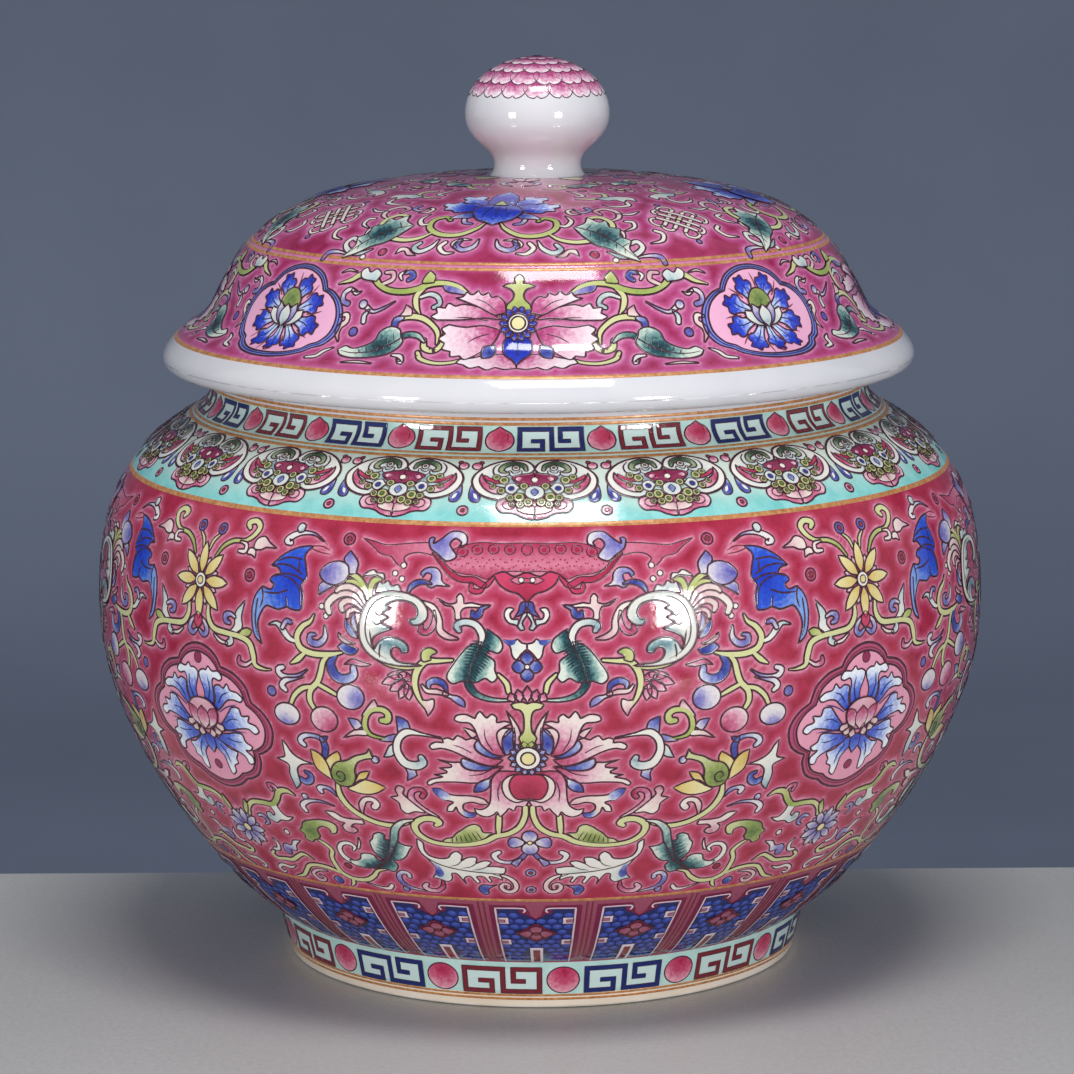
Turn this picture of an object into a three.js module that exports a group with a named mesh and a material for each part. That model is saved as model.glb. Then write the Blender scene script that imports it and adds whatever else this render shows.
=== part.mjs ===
// A covered porcelain jar of the ginger-jar kind: a swelling body on a ring foot, with a short neck,
// and a domed lid with a broad rolled brim, a locating collar and a round knob.
//
// Millimetres, +Z up. The origin is on the jar's axis, in the plane that the foot stands on.
// Every piece is turned about that axis. Each one is a section that a potter throws on its own and
// lutes to its neighbour with slip, so neighbours meet face to face on a level plane.

import * as THREE from "three";

// Driving dimensions -----------------------------------------------------------------------------

const SEGMENTS = 40;            // flats round the axis
const WALL = 5;                 // thickness of the thrown walls

const FOOT_BOTTOM_RADIUS = 72.6;
const FOOT_TOP_RADIUS = 76;
const FOOT_HEIGHT = 14.5;       // height of the painted foot, up to the root of the belly
const FOOT_RECESS = 12;         // depth of the hollow under the floor
const FOOT_INNER_RADIUS = 64;
const FOOT_FACE_INNER = 66.6;   // the flat bare ring that the jar stands on
const FOOT_FACE_OUTER = 71.4;

const BELLY_RADIUS = 125;
const BELLY_HEIGHT = 101;
const FLOOR_TOP = 19;

const SHOULDER_RADIUS = 98.5;   // where the shoulder turns up into the neck
const SHOULDER_HEIGHT = 155.8;

const NECK_RADIUS = 92.5;
const NECK_START = 163.5;       // the neck is upright above this height
const NECK_ROLL = 1.1;          // rounding of its two top edges
const SEAT_HEIGHT = 170;        // the level face that the lid rests on

const COLLAR_RADIUS = 84.5;
const COLLAR_DEPTH = 14;
const COLLAR_ROLL = 1.5;

const BRIM_RADIUS = 105.8;
const BRIM_WIDEST = 171.3;
const BRIM_LOWEST = 167.6;
const BRIM_SEAT_OUTER = 95.5;   // outer edge of the flat bare seat under the brim

const DOME_BASE_RADIUS = 94.2;
const DOME_BASE_HEIGHT = 183;
const DOME_BREAK_RADIUS = 82.7; // where the side of the lid rounds over into its top
const DOME_BREAK_HEIGHT = 201.9;
const DOME_TOP = 221.4;

const KNOB_SEAT_RADIUS = 13.4;
const KNOB_NECK_RADIUS = 12.2;
const KNOB_NECK_HEIGHT = 224.4;
const KNOB_RADIUS = 20.3;
const KNOB_WIDEST = 238.6;
const KNOB_TOP = 253.9;

// Outlines ---------------------------------------------------------------------------------------

const point = (r, z) => new THREE.Vector2(r, z);

// Points along a cubic curve, without its first point, so that stretches can be laid end to end.
function curve(from, handleA, handleB, to, steps) {
  const path = new THREE.CubicBezierCurve(point(...from), point(...handleA), point(...handleB), point(...to));
  return path.getPoints(steps).slice(1);
}

// One turned solid. The outline is radius and height, and runs up the outside and down the inside.
function turned(name, outline, look) {
  const geometry = new THREE.LatheGeometry(outline, SEGMENTS);
  geometry.rotateX(Math.PI / 2);
  const mesh = new THREE.Mesh(geometry, new THREE.MeshStandardMaterial(look));
  mesh.name = name;
  return mesh;
}

// A ring's outline closes on itself.
function ring(name, outline, look) {
  return turned(name, [...outline, outline[0].clone()], look);
}

// Looks ------------------------------------------------------------------------------------------

const WHITE_GLAZE = { color: 0xe6e6ea, roughness: 0.12, metalness: 0 };
const RUBY_ENAMEL = { color: 0xb4304f, roughness: 0.14, metalness: 0 };
const TURQUOISE_ENAMEL = { color: 0x86cfcd, roughness: 0.14, metalness: 0 };
const BARE_PORCELAIN = { color: 0xe9e2d4, roughness: 0.6, metalness: 0 };

// The jar ----------------------------------------------------------------------------------------

function footRing() {
  const slope = (FOOT_TOP_RADIUS - FOOT_BOTTOM_RADIUS) / FOOT_HEIGHT;
  const outline = [
    point(FOOT_FACE_INNER, 0),
    point(FOOT_FACE_OUTER, 0),
    point(FOOT_BOTTOM_RADIUS, 1),
    point(FOOT_BOTTOM_RADIUS + slope * FOOT_RECESS, FOOT_RECESS),
    point(FOOT_INNER_RADIUS, FOOT_RECESS),
    point(FOOT_INNER_RADIUS + 1, 1.8),
  ];
  return ring("foot_ring", outline, TURQUOISE_ENAMEL);
}

function lowerBody() {
  const slope = (FOOT_TOP_RADIUS - FOOT_BOTTOM_RADIUS) / FOOT_HEIGHT;
  const root = [FOOT_TOP_RADIUS, FOOT_HEIGHT];
  const belly = [BELLY_RADIUS, BELLY_HEIGHT];
  const inner = [BELLY_RADIUS - WALL, BELLY_HEIGHT];
  const outline = [
    point(0, FOOT_RECESS),
    point(FOOT_BOTTOM_RADIUS + slope * FOOT_RECESS, FOOT_RECESS),
    point(...root),
    ...curve(root, [89.4, 22.4], [BELLY_RADIUS, 63.8], belly, 9),
    point(...inner),
    ...curve(inner, [inner[0], 64], [84, 24], [62, FLOOR_TOP], 8),
    point(0, FLOOR_TOP),
  ];
  return turned("lower_body", outline, RUBY_ENAMEL);
}

function upperBody() {
  const belly = [BELLY_RADIUS, BELLY_HEIGHT];
  const inner = [BELLY_RADIUS - WALL, BELLY_HEIGHT];
  const shoulder = [SHOULDER_RADIUS, SHOULDER_HEIGHT];
  const throat = NECK_RADIUS - WALL;
  const outline = [
    point(...belly),
    ...curve(belly, [BELLY_RADIUS, 128.9], [119.9, 142.8], shoulder, 9),
    point(throat, SHOULDER_HEIGHT),
    ...curve([throat, SHOULDER_HEIGHT], [throat, 151.5], [90.5, 149], [95.5, 146.5], 3),
    ...curve([95.5, 146.5], [111, 138.6], [inner[0], 127], inner, 7),
  ];
  return ring("upper_body", outline, RUBY_ENAMEL);
}

function neck() {
  const throat = NECK_RADIUS - WALL;
  const outline = [
    point(SHOULDER_RADIUS, SHOULDER_HEIGHT),
    ...curve([SHOULDER_RADIUS, SHOULDER_HEIGHT], [94.2, 158.6], [NECK_RADIUS, 160.2], [NECK_RADIUS, NECK_START], 4),
    point(NECK_RADIUS, SEAT_HEIGHT - NECK_ROLL),
    point(NECK_RADIUS - NECK_ROLL, SEAT_HEIGHT),
    point(throat + NECK_ROLL, SEAT_HEIGHT),
    point(throat, SEAT_HEIGHT - NECK_ROLL),
    point(throat, SHOULDER_HEIGHT),
  ];
  return ring("neck", outline, TURQUOISE_ENAMEL);
}

// The lid ----------------------------------------------------------------------------------------

function collar() {
  const inner = COLLAR_RADIUS - 4.5;
  const bottom = SEAT_HEIGHT - COLLAR_DEPTH;
  const outline = [
    point(inner, SEAT_HEIGHT),
    point(inner, bottom + COLLAR_ROLL),
    point(inner + COLLAR_ROLL, bottom),
    point(COLLAR_RADIUS - COLLAR_ROLL, bottom),
    point(COLLAR_RADIUS, bottom + COLLAR_ROLL),
    point(COLLAR_RADIUS, SEAT_HEIGHT),
  ];
  return ring("lid_collar", outline, BARE_PORCELAIN);
}

function brim() {
  const inner = COLLAR_RADIUS - 4.5;
  const shelf = [100.6, 178.9];
  const widest = [BRIM_RADIUS, BRIM_WIDEST];
  const base = [DOME_BASE_RADIUS, DOME_BASE_HEIGHT];
  const outline = [
    point(inner, SEAT_HEIGHT),
    point(BRIM_SEAT_OUTER, SEAT_HEIGHT),
    ...curve([BRIM_SEAT_OUTER, SEAT_HEIGHT], [98, BRIM_LOWEST], [105.4, BRIM_LOWEST - 1], widest, 5),
    ...curve(widest, [106, 174], [103, 177], shelf, 4),
    ...curve(shelf, [98.4, 180.6], [95.8, 181.3], base, 2),
    point(DOME_BASE_RADIUS - WALL - 0.4, DOME_BASE_HEIGHT),
    point(inner + 1.6, SEAT_HEIGHT + 4.5),
    point(inner, SEAT_HEIGHT + 2),
  ];
  return ring("lid_brim", outline, WHITE_GLAZE);
}

function dome() {
  const base = [DOME_BASE_RADIUS, DOME_BASE_HEIGHT];
  const shoulder = [DOME_BREAK_RADIUS, DOME_BREAK_HEIGHT];
  const innerBase = [DOME_BASE_RADIUS - WALL - 0.4, DOME_BASE_HEIGHT];
  const innerTop = [48, DOME_TOP - WALL - 1];
  const outline = [
    point(0, DOME_TOP - WALL),
    ...curve([0, DOME_TOP - WALL], [20, DOME_TOP - WALL], [36, DOME_TOP - WALL - 0.4], innerTop, 2),
    ...curve(innerTop, [70, 212], [79, 204], innerBase, 7),
    point(...base),
    ...curve(base, [90.5, 186.3], [87.6, 195.7], shoulder, 4),
    ...curve(shoulder, [72.6, 214.7], [52.9, 220.5], [KNOB_SEAT_RADIUS, DOME_TOP], 8),
    point(0, DOME_TOP),
  ];
  return turned("lid_dome", outline, RUBY_ENAMEL);
}

function knob() {
  const waist = [KNOB_NECK_RADIUS, KNOB_NECK_HEIGHT];
  const widest = [KNOB_RADIUS, KNOB_WIDEST];
  const outline = [
    point(0, DOME_TOP),
    point(KNOB_SEAT_RADIUS, DOME_TOP),
    ...curve([KNOB_SEAT_RADIUS, DOME_TOP], [12.5, 222.3], [KNOB_NECK_RADIUS, 223.2], waist, 2),
    ...curve(waist, [KNOB_NECK_RADIUS, 229.6], [KNOB_RADIUS, 230.4], widest, 6),
    ...curve(widest, [KNOB_RADIUS, 247.5], [11.5, KNOB_TOP], [0, KNOB_TOP], 7),
  ];
  return turned("lid_knob", outline, WHITE_GLAZE);
}

// Assembly ---------------------------------------------------------------------------------------

const jar = new THREE.Group();
jar.add(footRing(), lowerBody(), upperBody(), neck());

const lid = new THREE.Group();
lid.add(collar(), brim(), dome(), knob());

const coveredJar = new THREE.Group();
coveredJar.add(jar, lid);

export default coveredJar;
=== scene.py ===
# A covered porcelain jar in the famille-rose manner, painted all over in overglaze enamels.
#
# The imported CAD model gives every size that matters. This script turns the smooth glazed surfaces
# over it and paints them. Each motif is drawn flat, in millimetres, on a chart of the surface that
# keeps angles true, and is then laid on the jar or the lid as slightly raised enamel with a fine
# dark line round it.

import math
from contextlib import contextmanager

import bpy
import numpy as np
from mathutils import Matrix, Vector, kdtree
from mathutils.geometry import delaunay_2d_cdt


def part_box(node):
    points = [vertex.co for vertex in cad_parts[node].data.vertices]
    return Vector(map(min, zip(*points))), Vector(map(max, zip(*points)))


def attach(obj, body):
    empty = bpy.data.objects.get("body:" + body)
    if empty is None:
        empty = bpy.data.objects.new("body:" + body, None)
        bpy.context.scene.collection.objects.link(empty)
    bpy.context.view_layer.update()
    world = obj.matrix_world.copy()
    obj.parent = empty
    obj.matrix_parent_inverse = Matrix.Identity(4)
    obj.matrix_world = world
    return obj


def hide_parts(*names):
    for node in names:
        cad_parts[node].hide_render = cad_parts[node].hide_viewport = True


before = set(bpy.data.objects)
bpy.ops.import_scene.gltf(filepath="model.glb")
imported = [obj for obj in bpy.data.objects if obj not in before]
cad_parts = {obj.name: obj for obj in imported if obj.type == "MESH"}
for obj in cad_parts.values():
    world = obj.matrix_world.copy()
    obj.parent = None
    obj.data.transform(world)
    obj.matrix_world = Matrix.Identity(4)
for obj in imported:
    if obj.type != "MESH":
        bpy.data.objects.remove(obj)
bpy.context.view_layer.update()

MM = 0.001

# Sizes from the frame, in millimetres -------------------------------------------------------------


def reach(node, axis, high=True):
    """How far a node reaches along an axis."""
    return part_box(node)[1 if high else 0][axis] / MM


BELLY_R = reach("lower_body", 0)
BELLY_Z = reach("lower_body", 2)
SHOULDER_R = reach("neck", 0)
SHOULDER_Z = reach("upper_body", 2)
SEAT_Z = reach("neck", 2)
COLLAR_R = reach("lid_collar", 0)
COLLAR_LOW = reach("lid_collar", 2, False)
BRIM_R = reach("lid_brim", 0)
BRIM_TOP = reach("lid_brim", 2)
DOME_R = reach("lid_dome", 0)
DOME_TOP = reach("lid_dome", 2)
KNOB_R = reach("lid_knob", 0)
KNOB_TOP = reach("lid_knob", 2)
WALL = 5.0
FOOT_TOP = (76.0, 14.5)         # root of the belly: radius and height
FOOT_EDGE = (72.6, 1.0)         # where the outside rounds under to the foot's face
NECK_R = SHOULDER_R - 6.0
NECK_START = SEAT_Z - 6.5       # the neck is upright above this height
LIP_ROUND = 1.1                 # rounding of the neck's outer top edge
SHELF = (100.6, 178.9)          # where the brim's roll turns up towards the dome
DOME_BREAK = (82.7, 201.9)      # where the side of the lid rounds over into its top
BRIM_WIDEST_Z = 171.3
KNOB_FOOT_R = 13.4
KNOB_WAIST_R = 12.2

# Outlines: radius and height, the same curves as the solids have ----------------------------------


def curve(start, handle_a, handle_b, end, steps=48):
    """A Bezier stretch."""
    a, b, c, d = (np.array(p, float) for p in (start, handle_a, handle_b, end))
    t = np.linspace(0, 1, steps + 1)[:, None]
    return (1 - t) ** 3 * a + 3 * (1 - t) ** 2 * t * b + 3 * (1 - t) * t * t * c + t ** 3 * d


def chain(*parts):
    """Stretches laid end to end, with each shared point kept once."""
    joined = np.vstack([np.atleast_2d(np.array(p, float)) for p in parts])
    moved = np.hypot(*np.diff(joined, axis=0).T) > 1e-6
    return joined[np.concatenate([[True], moved])]


def jar_outside():
    belly = (BELLY_R, BELLY_Z)
    shoulder = (SHOULDER_R, SHOULDER_Z)
    return chain(
        [FOOT_EDGE, FOOT_TOP],
        curve(FOOT_TOP, (89.4, 22.4), (BELLY_R, 63.8), belly),
        curve(belly, (BELLY_R, 128.9), (119.9, 142.8), shoulder),
        curve(shoulder, (94.2, 158.6), (NECK_R, 160.2), (NECK_R, NECK_START)),
        (NECK_R, SEAT_Z - LIP_ROUND),
    )


def lid_outside():
    return chain(
        curve((BRIM_R, BRIM_WIDEST_Z), (106.0, 174.0), (103.0, 177.0), SHELF),
        curve(SHELF, (98.4, 180.6), (95.8, 181.3), (DOME_R, BRIM_TOP)),
        curve((DOME_R, BRIM_TOP), (90.5, 186.3), (87.6, 195.7), DOME_BREAK),
        curve(DOME_BREAK, (72.6, 214.7), (52.9, 220.5), (KNOB_FOOT_R, DOME_TOP)),
    )


def knob_outside():
    foot = (KNOB_FOOT_R, DOME_TOP)
    waist = (KNOB_WAIST_R, DOME_TOP + 3.0)
    widest = (KNOB_R, DOME_TOP + 17.2)
    return chain(
        curve(foot, (12.5, DOME_TOP + 0.9), (KNOB_WAIST_R, DOME_TOP + 1.8), waist, 10),
        curve(waist, (KNOB_WAIST_R, DOME_TOP + 8.2), (KNOB_R, DOME_TOP + 9.0), widest, 30),
        curve(widest, (KNOB_R, DOME_TOP + 26.1), (11.5, KNOB_TOP), (0.0, KNOB_TOP), 40),
    )


# Charts: flat millimetres laid on a turned surface ------------------------------------------------


class Chart:
    """x runs round the surface at unit_r, y runs up it, and both stretch alike, so angles stay true."""

    def __init__(self, outline, unit_r, zero_z, turn):
        r, z = outline.T
        step = np.hypot(np.diff(r), np.diff(z))
        run = np.concatenate([[0], np.cumsum(step * unit_r * 2 / (r[1:] + r[:-1]))])
        self.run = run - np.interp(zero_z, z, run)
        self.r, self.z = r, z
        self.unit_r, self.turn = unit_r, turn
        self.set_normals()

    def set_normals(self):
        """The outward direction at each point of the outline."""
        dr, dz = np.gradient(self.r, self.run), np.gradient(self.z, self.run)
        size = np.hypot(dr, dz)
        self.nr, self.nz = dz / size, -dr / size

    def raised(self, along, lift):
        """Radius and height at a distance along the outline, lifted off it."""
        r = np.interp(along, self.run, self.r) + lift * np.interp(along, self.run, self.nr)
        z = np.interp(along, self.run, self.z) + lift * np.interp(along, self.run, self.nz)
        return r, z

    def place(self, xy, lift):
        """Points of the chart in space, in metres."""
        r, z = self.raised(xy[:, 1], lift)
        angle = self.turn + xy[:, 0] / self.unit_r
        return np.column_stack([r * np.sin(angle), -r * np.cos(angle), z]) * MM

    def height(self, z):
        """The y of the chart at a height z."""
        return float(np.interp(z, self.z, self.run))

    def repeat(self, xy, part):
        """The same drawing moved on by a fraction of the whole way round."""
        return xy + np.array([part * 2 * math.pi * self.unit_r, 0])


class TopChart(Chart):
    """x and y in plan over a dome, with the distance from the middle measured over the surface."""

    def __init__(self, outline, turn):
        self.r, self.z = outline[::-1].T
        step = np.hypot(np.diff(self.r), np.diff(self.z))
        self.run = self.r[0] + np.concatenate([[0], np.cumsum(step)])
        self.turn = turn
        self.set_normals()
        self.nr, self.nz = -self.nr, -self.nz

    def place(self, xy, lift):
        r, z = self.raised(np.hypot(xy[:, 0], xy[:, 1]), lift)
        angle = self.turn + np.arctan2(xy[:, 0], -xy[:, 1])
        return np.column_stack([r * np.sin(angle), -r * np.cos(angle), z]) * MM

    def repeat(self, xy, part):
        c, s = math.cos(part * 2 * math.pi), math.sin(part * 2 * math.pi)
        return xy @ np.array([[c, s], [-s, c]])


JAR = Chart(jar_outside(), 125.0, BELLY_Z, math.radians(-1.6))
LID = Chart(lid_outside(), 90.0, BRIM_WIDEST_Z, math.radians(-3.4))
LID_TOP = TopChart(lid_outside(), math.radians(-10.5))
KNOB = TopChart(knob_outside(), 0.0)

# Drawing ------------------------------------------------------------------------------------------

LINE = 0.5                      # width of the dark lines
PATCH_GRID = 1.3                # spacing of the points inside a patch
ROUNDING = 1.2                  # a patch rounds down to its edge over this distance
GRAIN = 0.65                    # spacing of the points along an edge
BASE_LIFT = 0.06                # how far the lowest enamel stands above the ground
LEVEL_LIFT = 0.1                # each level of overlap stands this much higher
LINE_LIFT = 0.08                # crest of a line above the enamel that it bounds
PILLOW = 0.05                   # enamel is this much thicker in its middle
TURN = 0.15                     # how much a line may turn between two points
CASING_LIFT = 0.04              # the dark casing of a stem lies this high, under every enamel
STEM_ENAMELS = ("lime", "leaf")  # strokes in these are cased instead of being outlined
CLOSEST = 0.03                  # points of a stroke's outline nearer than this are merged


def spots(path):
    """Points written "x,y x,y! ..." with a third number for width where it is used; ! is a corner."""
    words = path.split()
    sharp = np.array([w.endswith("!") for w in words])
    return np.array([[float(v) for v in w.rstrip("!").split(",")] for w in words]), sharp


def smooth(path, closed=False):
    """A soft line through the points, with a corner only where one is marked."""
    knots, sharp = spots(path)
    if closed:
        first = int(np.argmax(sharp))
        knots, sharp = np.roll(knots, -first, axis=0), np.roll(sharp, -first)
        knots, sharp = np.vstack([knots, knots[:1]]), np.append(sharp, sharp[0])
    span = np.hypot(*np.diff(knots[:, :2], axis=0).T)[:, None]
    tangent = np.zeros_like(knots)
    inner = slice(1, len(knots) - 1)
    total = span[1:] + span[:-1]
    tangent[inner] = (knots[2:] - knots[:-2]) / total
    if closed:
        tangent[0] = tangent[-1] = (knots[1] - knots[-2]) / (span[0] + span[-1])
    pieces = []
    for i in range(len(knots) - 1):
        a, b, size = knots[i], knots[i + 1], span[i]
        chord = (b - a) / size
        free = not closed
        leave = chord if sharp[i] or (free and i == 0) else tangent[i]
        arrive = chord if sharp[i + 1] or (free and i == len(knots) - 2) else tangent[i + 1]
        coarse, fine = (math.ceil(float(size[0]) / grain) for grain in (2 * GRAIN, GRAIN))
        turn = np.hypot(*(leave - arrive)[:2]) + np.hypot(*(leave + arrive - 2 * chord)[:2])
        steps = max(1, coarse, min(fine, math.ceil(float(turn) / TURN)))
        t = (np.arange(steps) / steps)[:, None]
        pieces.append(
            (2 * t ** 3 - 3 * t * t + 1) * a + (t ** 3 - 2 * t * t + t) * size * leave
            + (3 * t * t - 2 * t ** 3) * b + (t ** 3 - t * t) * size * arrive
        )
    if not closed:
        pieces.append(knots[-1:])
    return np.vstack(pieces)


def inside(ring, probes):
    """Which probe points lie inside a closed ring."""
    x, y = probes[:, 0][:, None], probes[:, 1][:, None]
    ax, ay = ring.T
    bx, by = np.roll(ring, -1, axis=0).T
    crosses = (ay > y) != (by > y)
    at = ax + (y - ay) * (bx - ax) / np.where(by == ay, 1e-9, by - ay)
    return (crosses & (x < at)).sum(1) % 2 == 1


def gap(ring, probes):
    """How far each probe point is from the nearest point of a ring."""
    return np.sqrt(((probes[:, None, :] - ring[None]) ** 2).sum(2)).min(1)


def patch(ring, grid):
    """A filled outline as triangles, with points inside it so that shading can vary."""
    after = np.roll(ring, -1, axis=0)
    if (ring[:, 0] * after[:, 1] - ring[:, 1] * after[:, 0]).sum() < 0:
        ring = ring[::-1]
    low, high = ring.min(0), ring.max(0)
    columns, rows = (np.arange(low[k] + grid / 2, high[k], grid) for k in (0, 1))
    probes = np.column_stack([a.ravel() for a in np.meshgrid(columns, rows)])
    if len(probes):
        probes = probes[inside(ring, probes)]
    if len(probes):
        probes = probes[gap(ring, probes) > 0.45 * grid]
    both = np.vstack([ring, probes.reshape(-1, 2)])
    rim = list(range(len(ring)))
    flat, _, faces, *_ = delaunay_2d_cdt([Vector(p) for p in both], [], [rim], 1, 1e-4)
    flat = np.array([(p[0], p[1]) for p in flat])
    faces = np.array([f for f in faces if len(f) == 3], int).reshape(-1, 3)
    a, b, c = (flat[faces[:, k]] for k in range(3))
    area = (b[:, 0] - a[:, 0]) * (c[:, 1] - a[:, 1]) - (b[:, 1] - a[:, 1]) * (c[:, 0] - a[:, 0])
    faces[area < 0] = faces[area < 0][:, ::-1]
    return flat, faces


def sideways(run):
    """Unit vectors to the left of a line, and along it."""
    ahead = np.gradient(run, axis=0)
    ahead /= np.maximum(np.hypot(*ahead.T), 1e-9)[:, None]
    return np.column_stack([-ahead[:, 1], ahead[:, 0]]), ahead


class Drawing:
    """A flat drawing: enamel patches and lines, kept apart by enamel."""

    def __init__(self):
        self.parts = {}
        self.edges = []
        self.pose = (1 + 0j, 0j, False)

    @contextmanager
    def at(self, x, y, degrees=0.0, size=1.0, flip=False):
        """Draws what follows moved, turned and scaled, and mirrored first if flip is set."""
        turn, move, mirrored = self.pose
        step = size * np.exp(1j * math.radians(degrees))
        spot = complex(x, y)
        if mirrored:
            step, spot = step.conjugate(), -spot.conjugate()
        self.pose = (turn * step, turn * spot + move, mirrored != flip)
        yield
        self.pose = (turn, move, mirrored)

    def posed(self, xy):
        """Points moved to where the drawing now stands."""
        turn, move, mirrored = self.pose
        flat = xy[:, 0] + 1j * xy[:, 1]
        flat = turn * (-flat.conjugate() if mirrored else flat) + move
        return np.column_stack([flat.real, flat.imag])

    def add(self, enamel, xy, lift, shade, faces):
        self.parts.setdefault(enamel, []).append((xy, lift, shade, faces))

    def line(self, path, width=LINE, enamel="ink", level=0, ends=(0.4, 0.4), closed=False):
        """A brushed line, thinner at its ends, with a low crest."""
        run = smooth(path, closed)[:, :2] if isinstance(path, str) else path
        run = self.posed(run)
        if closed:
            run = np.vstack([run, run[:1]])
            ends = (1, 1)
        side, _ = sideways(run)
        if closed:
            side[0] = side[-1] = (side[0] + side[-1]) / 2
        t = np.linspace(0, 1, len(run))
        press = np.minimum(ends[0] + (1 - ends[0]) * t * 4, ends[1] + (1 - ends[1]) * (1 - t) * 4)
        half = (np.minimum(press, 1) * width / 2)[:, None]
        count = len(run)
        xy = np.vstack([run + side * half, run, run - side * half])
        low = BASE_LIFT + level * LEVEL_LIFT
        lift = np.repeat([low + 0.01, low + LINE_LIFT, low + 0.01], count)
        i = np.arange(count - 1)
        left = np.column_stack([i, i + count, i + count + 1, i + 1])
        faces = np.vstack([left, left + count])
        faces = np.vstack([faces[:, [0, 1, 2]], faces[:, [0, 2, 3]]])
        self.add(enamel, xy, lift, np.full(len(xy), 0.5), faces)
        self.edges.append(run)

    def fill(self, path, enamel, root=None, level=0, edge=LINE, grid=PATCH_GRID, shade=1.0, flat=False):
        """A patch of enamel. root is where its colour starts: x, y, reach; a line x, y to x, y; or a
        path and reach."""
        local = smooth(path, True)[:, :2] if isinstance(path, str) else path
        ring = self.posed(local)
        xy, faces = patch(ring, grid)
        if len(faces) == 0:
            return
        tone = self.tones(xy, root, shade)
        depth = np.minimum(gap(ring, xy), ROUNDING) / ROUNDING
        lift = BASE_LIFT + level * LEVEL_LIFT + PILLOW * depth * (2 - depth)
        if flat:
            lift = np.full(len(xy), CASING_LIFT)
        self.add(enamel, xy, lift, np.clip(tone, 0, 1), faces)
        self.edges.append(ring)
        if edge:
            self.line(local, edge, level=level, closed=True)

    def tones(self, xy, root, shade):
        """How far along its colours each point of a patch is: 0 at the root, 1 at the reach."""
        scale = abs(self.pose[0])
        if root is None:
            return np.full(len(xy), float(shade))
        if isinstance(root[0], str):
            return gap(self.posed(smooth(root[0])[:, :2]), xy) / (root[1] * scale)
        if len(root) == 3:
            centre = self.posed(np.array([root[:2]], float))
            return np.hypot(*(xy - centre).T) / (root[2] * scale)
        a, b = self.posed(np.array([root[:2], root[2:]], float))
        return (xy - a) @ (b - a) / ((b - a) @ (b - a))

    def brush(self, path, enamel, root=None, level=0, edge=LINE, shade=1.0):
        """A stroke x,y,width along its middle: a stem, a curl or a bar."""
        run = smooth(path)
        half = run[:, 2] / 2
        if enamel in STEM_ENAMELS and edge:
            self.fill(self.ribbon(run, half + 0.6 * edge), "ink", edge=0, flat=True)
            half = np.maximum(half - 0.45 * edge, 0.06)
            edge = 0
        self.fill(self.ribbon(run, half), enamel, root, level, edge, PATCH_GRID, shade)

    def ribbon(self, run, half):
        """The closed outline of a stroke, with round ends."""
        middle = run[:, :2]
        side, ahead = sideways(middle)
        left, right = (middle + sign * side * half[:, None] for sign in (1, -1))
        ring = np.vstack([left, self.cap(middle, side, ahead, half, -1), right[::-1],
                          self.cap(middle, side, ahead, half, 0)])
        steps = np.hypot(*(ring - np.roll(ring, 1, axis=0)).T)
        return ring[steps > CLOSEST][::-1]

    @staticmethod
    def cap(middle, side, ahead, half, end):
        """Half a circle round a blunt end, from the left side to the right at the far end."""
        if half[end] < 0.15:
            return np.zeros((0, 2))
        angle = np.linspace(0, math.pi, 7)[1:-1][:, None]
        if end == -1:
            return middle[-1] + half[-1] * (np.cos(angle) * side[-1] + np.sin(angle) * ahead[-1])
        return middle[0] + half[0] * (-np.cos(angle) * side[0] - np.sin(angle) * ahead[0])

    def spot(self, x, y, r, enamel, level=0, edge=LINE, shade=1.0, root=None, squash=1.0):
        """A round or oval patch."""
        angle = np.linspace(0, 2 * math.pi, max(10, int(r * 9)), endpoint=False)
        ring = np.column_stack([x + r * np.cos(angle), y + r * squash * np.sin(angle)])
        self.fill(ring, enamel, root, level, edge, min(PATCH_GRID, r), shade)


# Laying the drawings on the surfaces --------------------------------------------------------------

LAID = {}                       # (body, zone, enamel) -> parts ready to join


def lay(drawing, chart, body, copies=1, mirror=False, zone=""):
    """Lays a drawing on a surface, repeated evenly round the axis. Outlines are kept apart by zone."""
    for enamel, parts in drawing.parts.items():
        xy, lift, shade = (np.concatenate([p[k] for p in parts]) for k in range(3))
        starts = np.cumsum([0] + [len(p[0]) for p in parts[:-1]])
        faces = np.concatenate([p[3] + s for p, s in zip(parts, starts)])
        for hand in ((1, -1) if mirror else (1,)):
            flat = xy * np.array([hand, 1])
            turned = faces if hand == 1 else faces[:, ::-1]
            for k in range(copies):
                solid = chart.place(chart.repeat(flat, k / copies), lift)
                keep = (body, zone if enamel == "ink" else "", enamel)
                LAID.setdefault(keep, []).append((solid, turned, shade))


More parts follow.
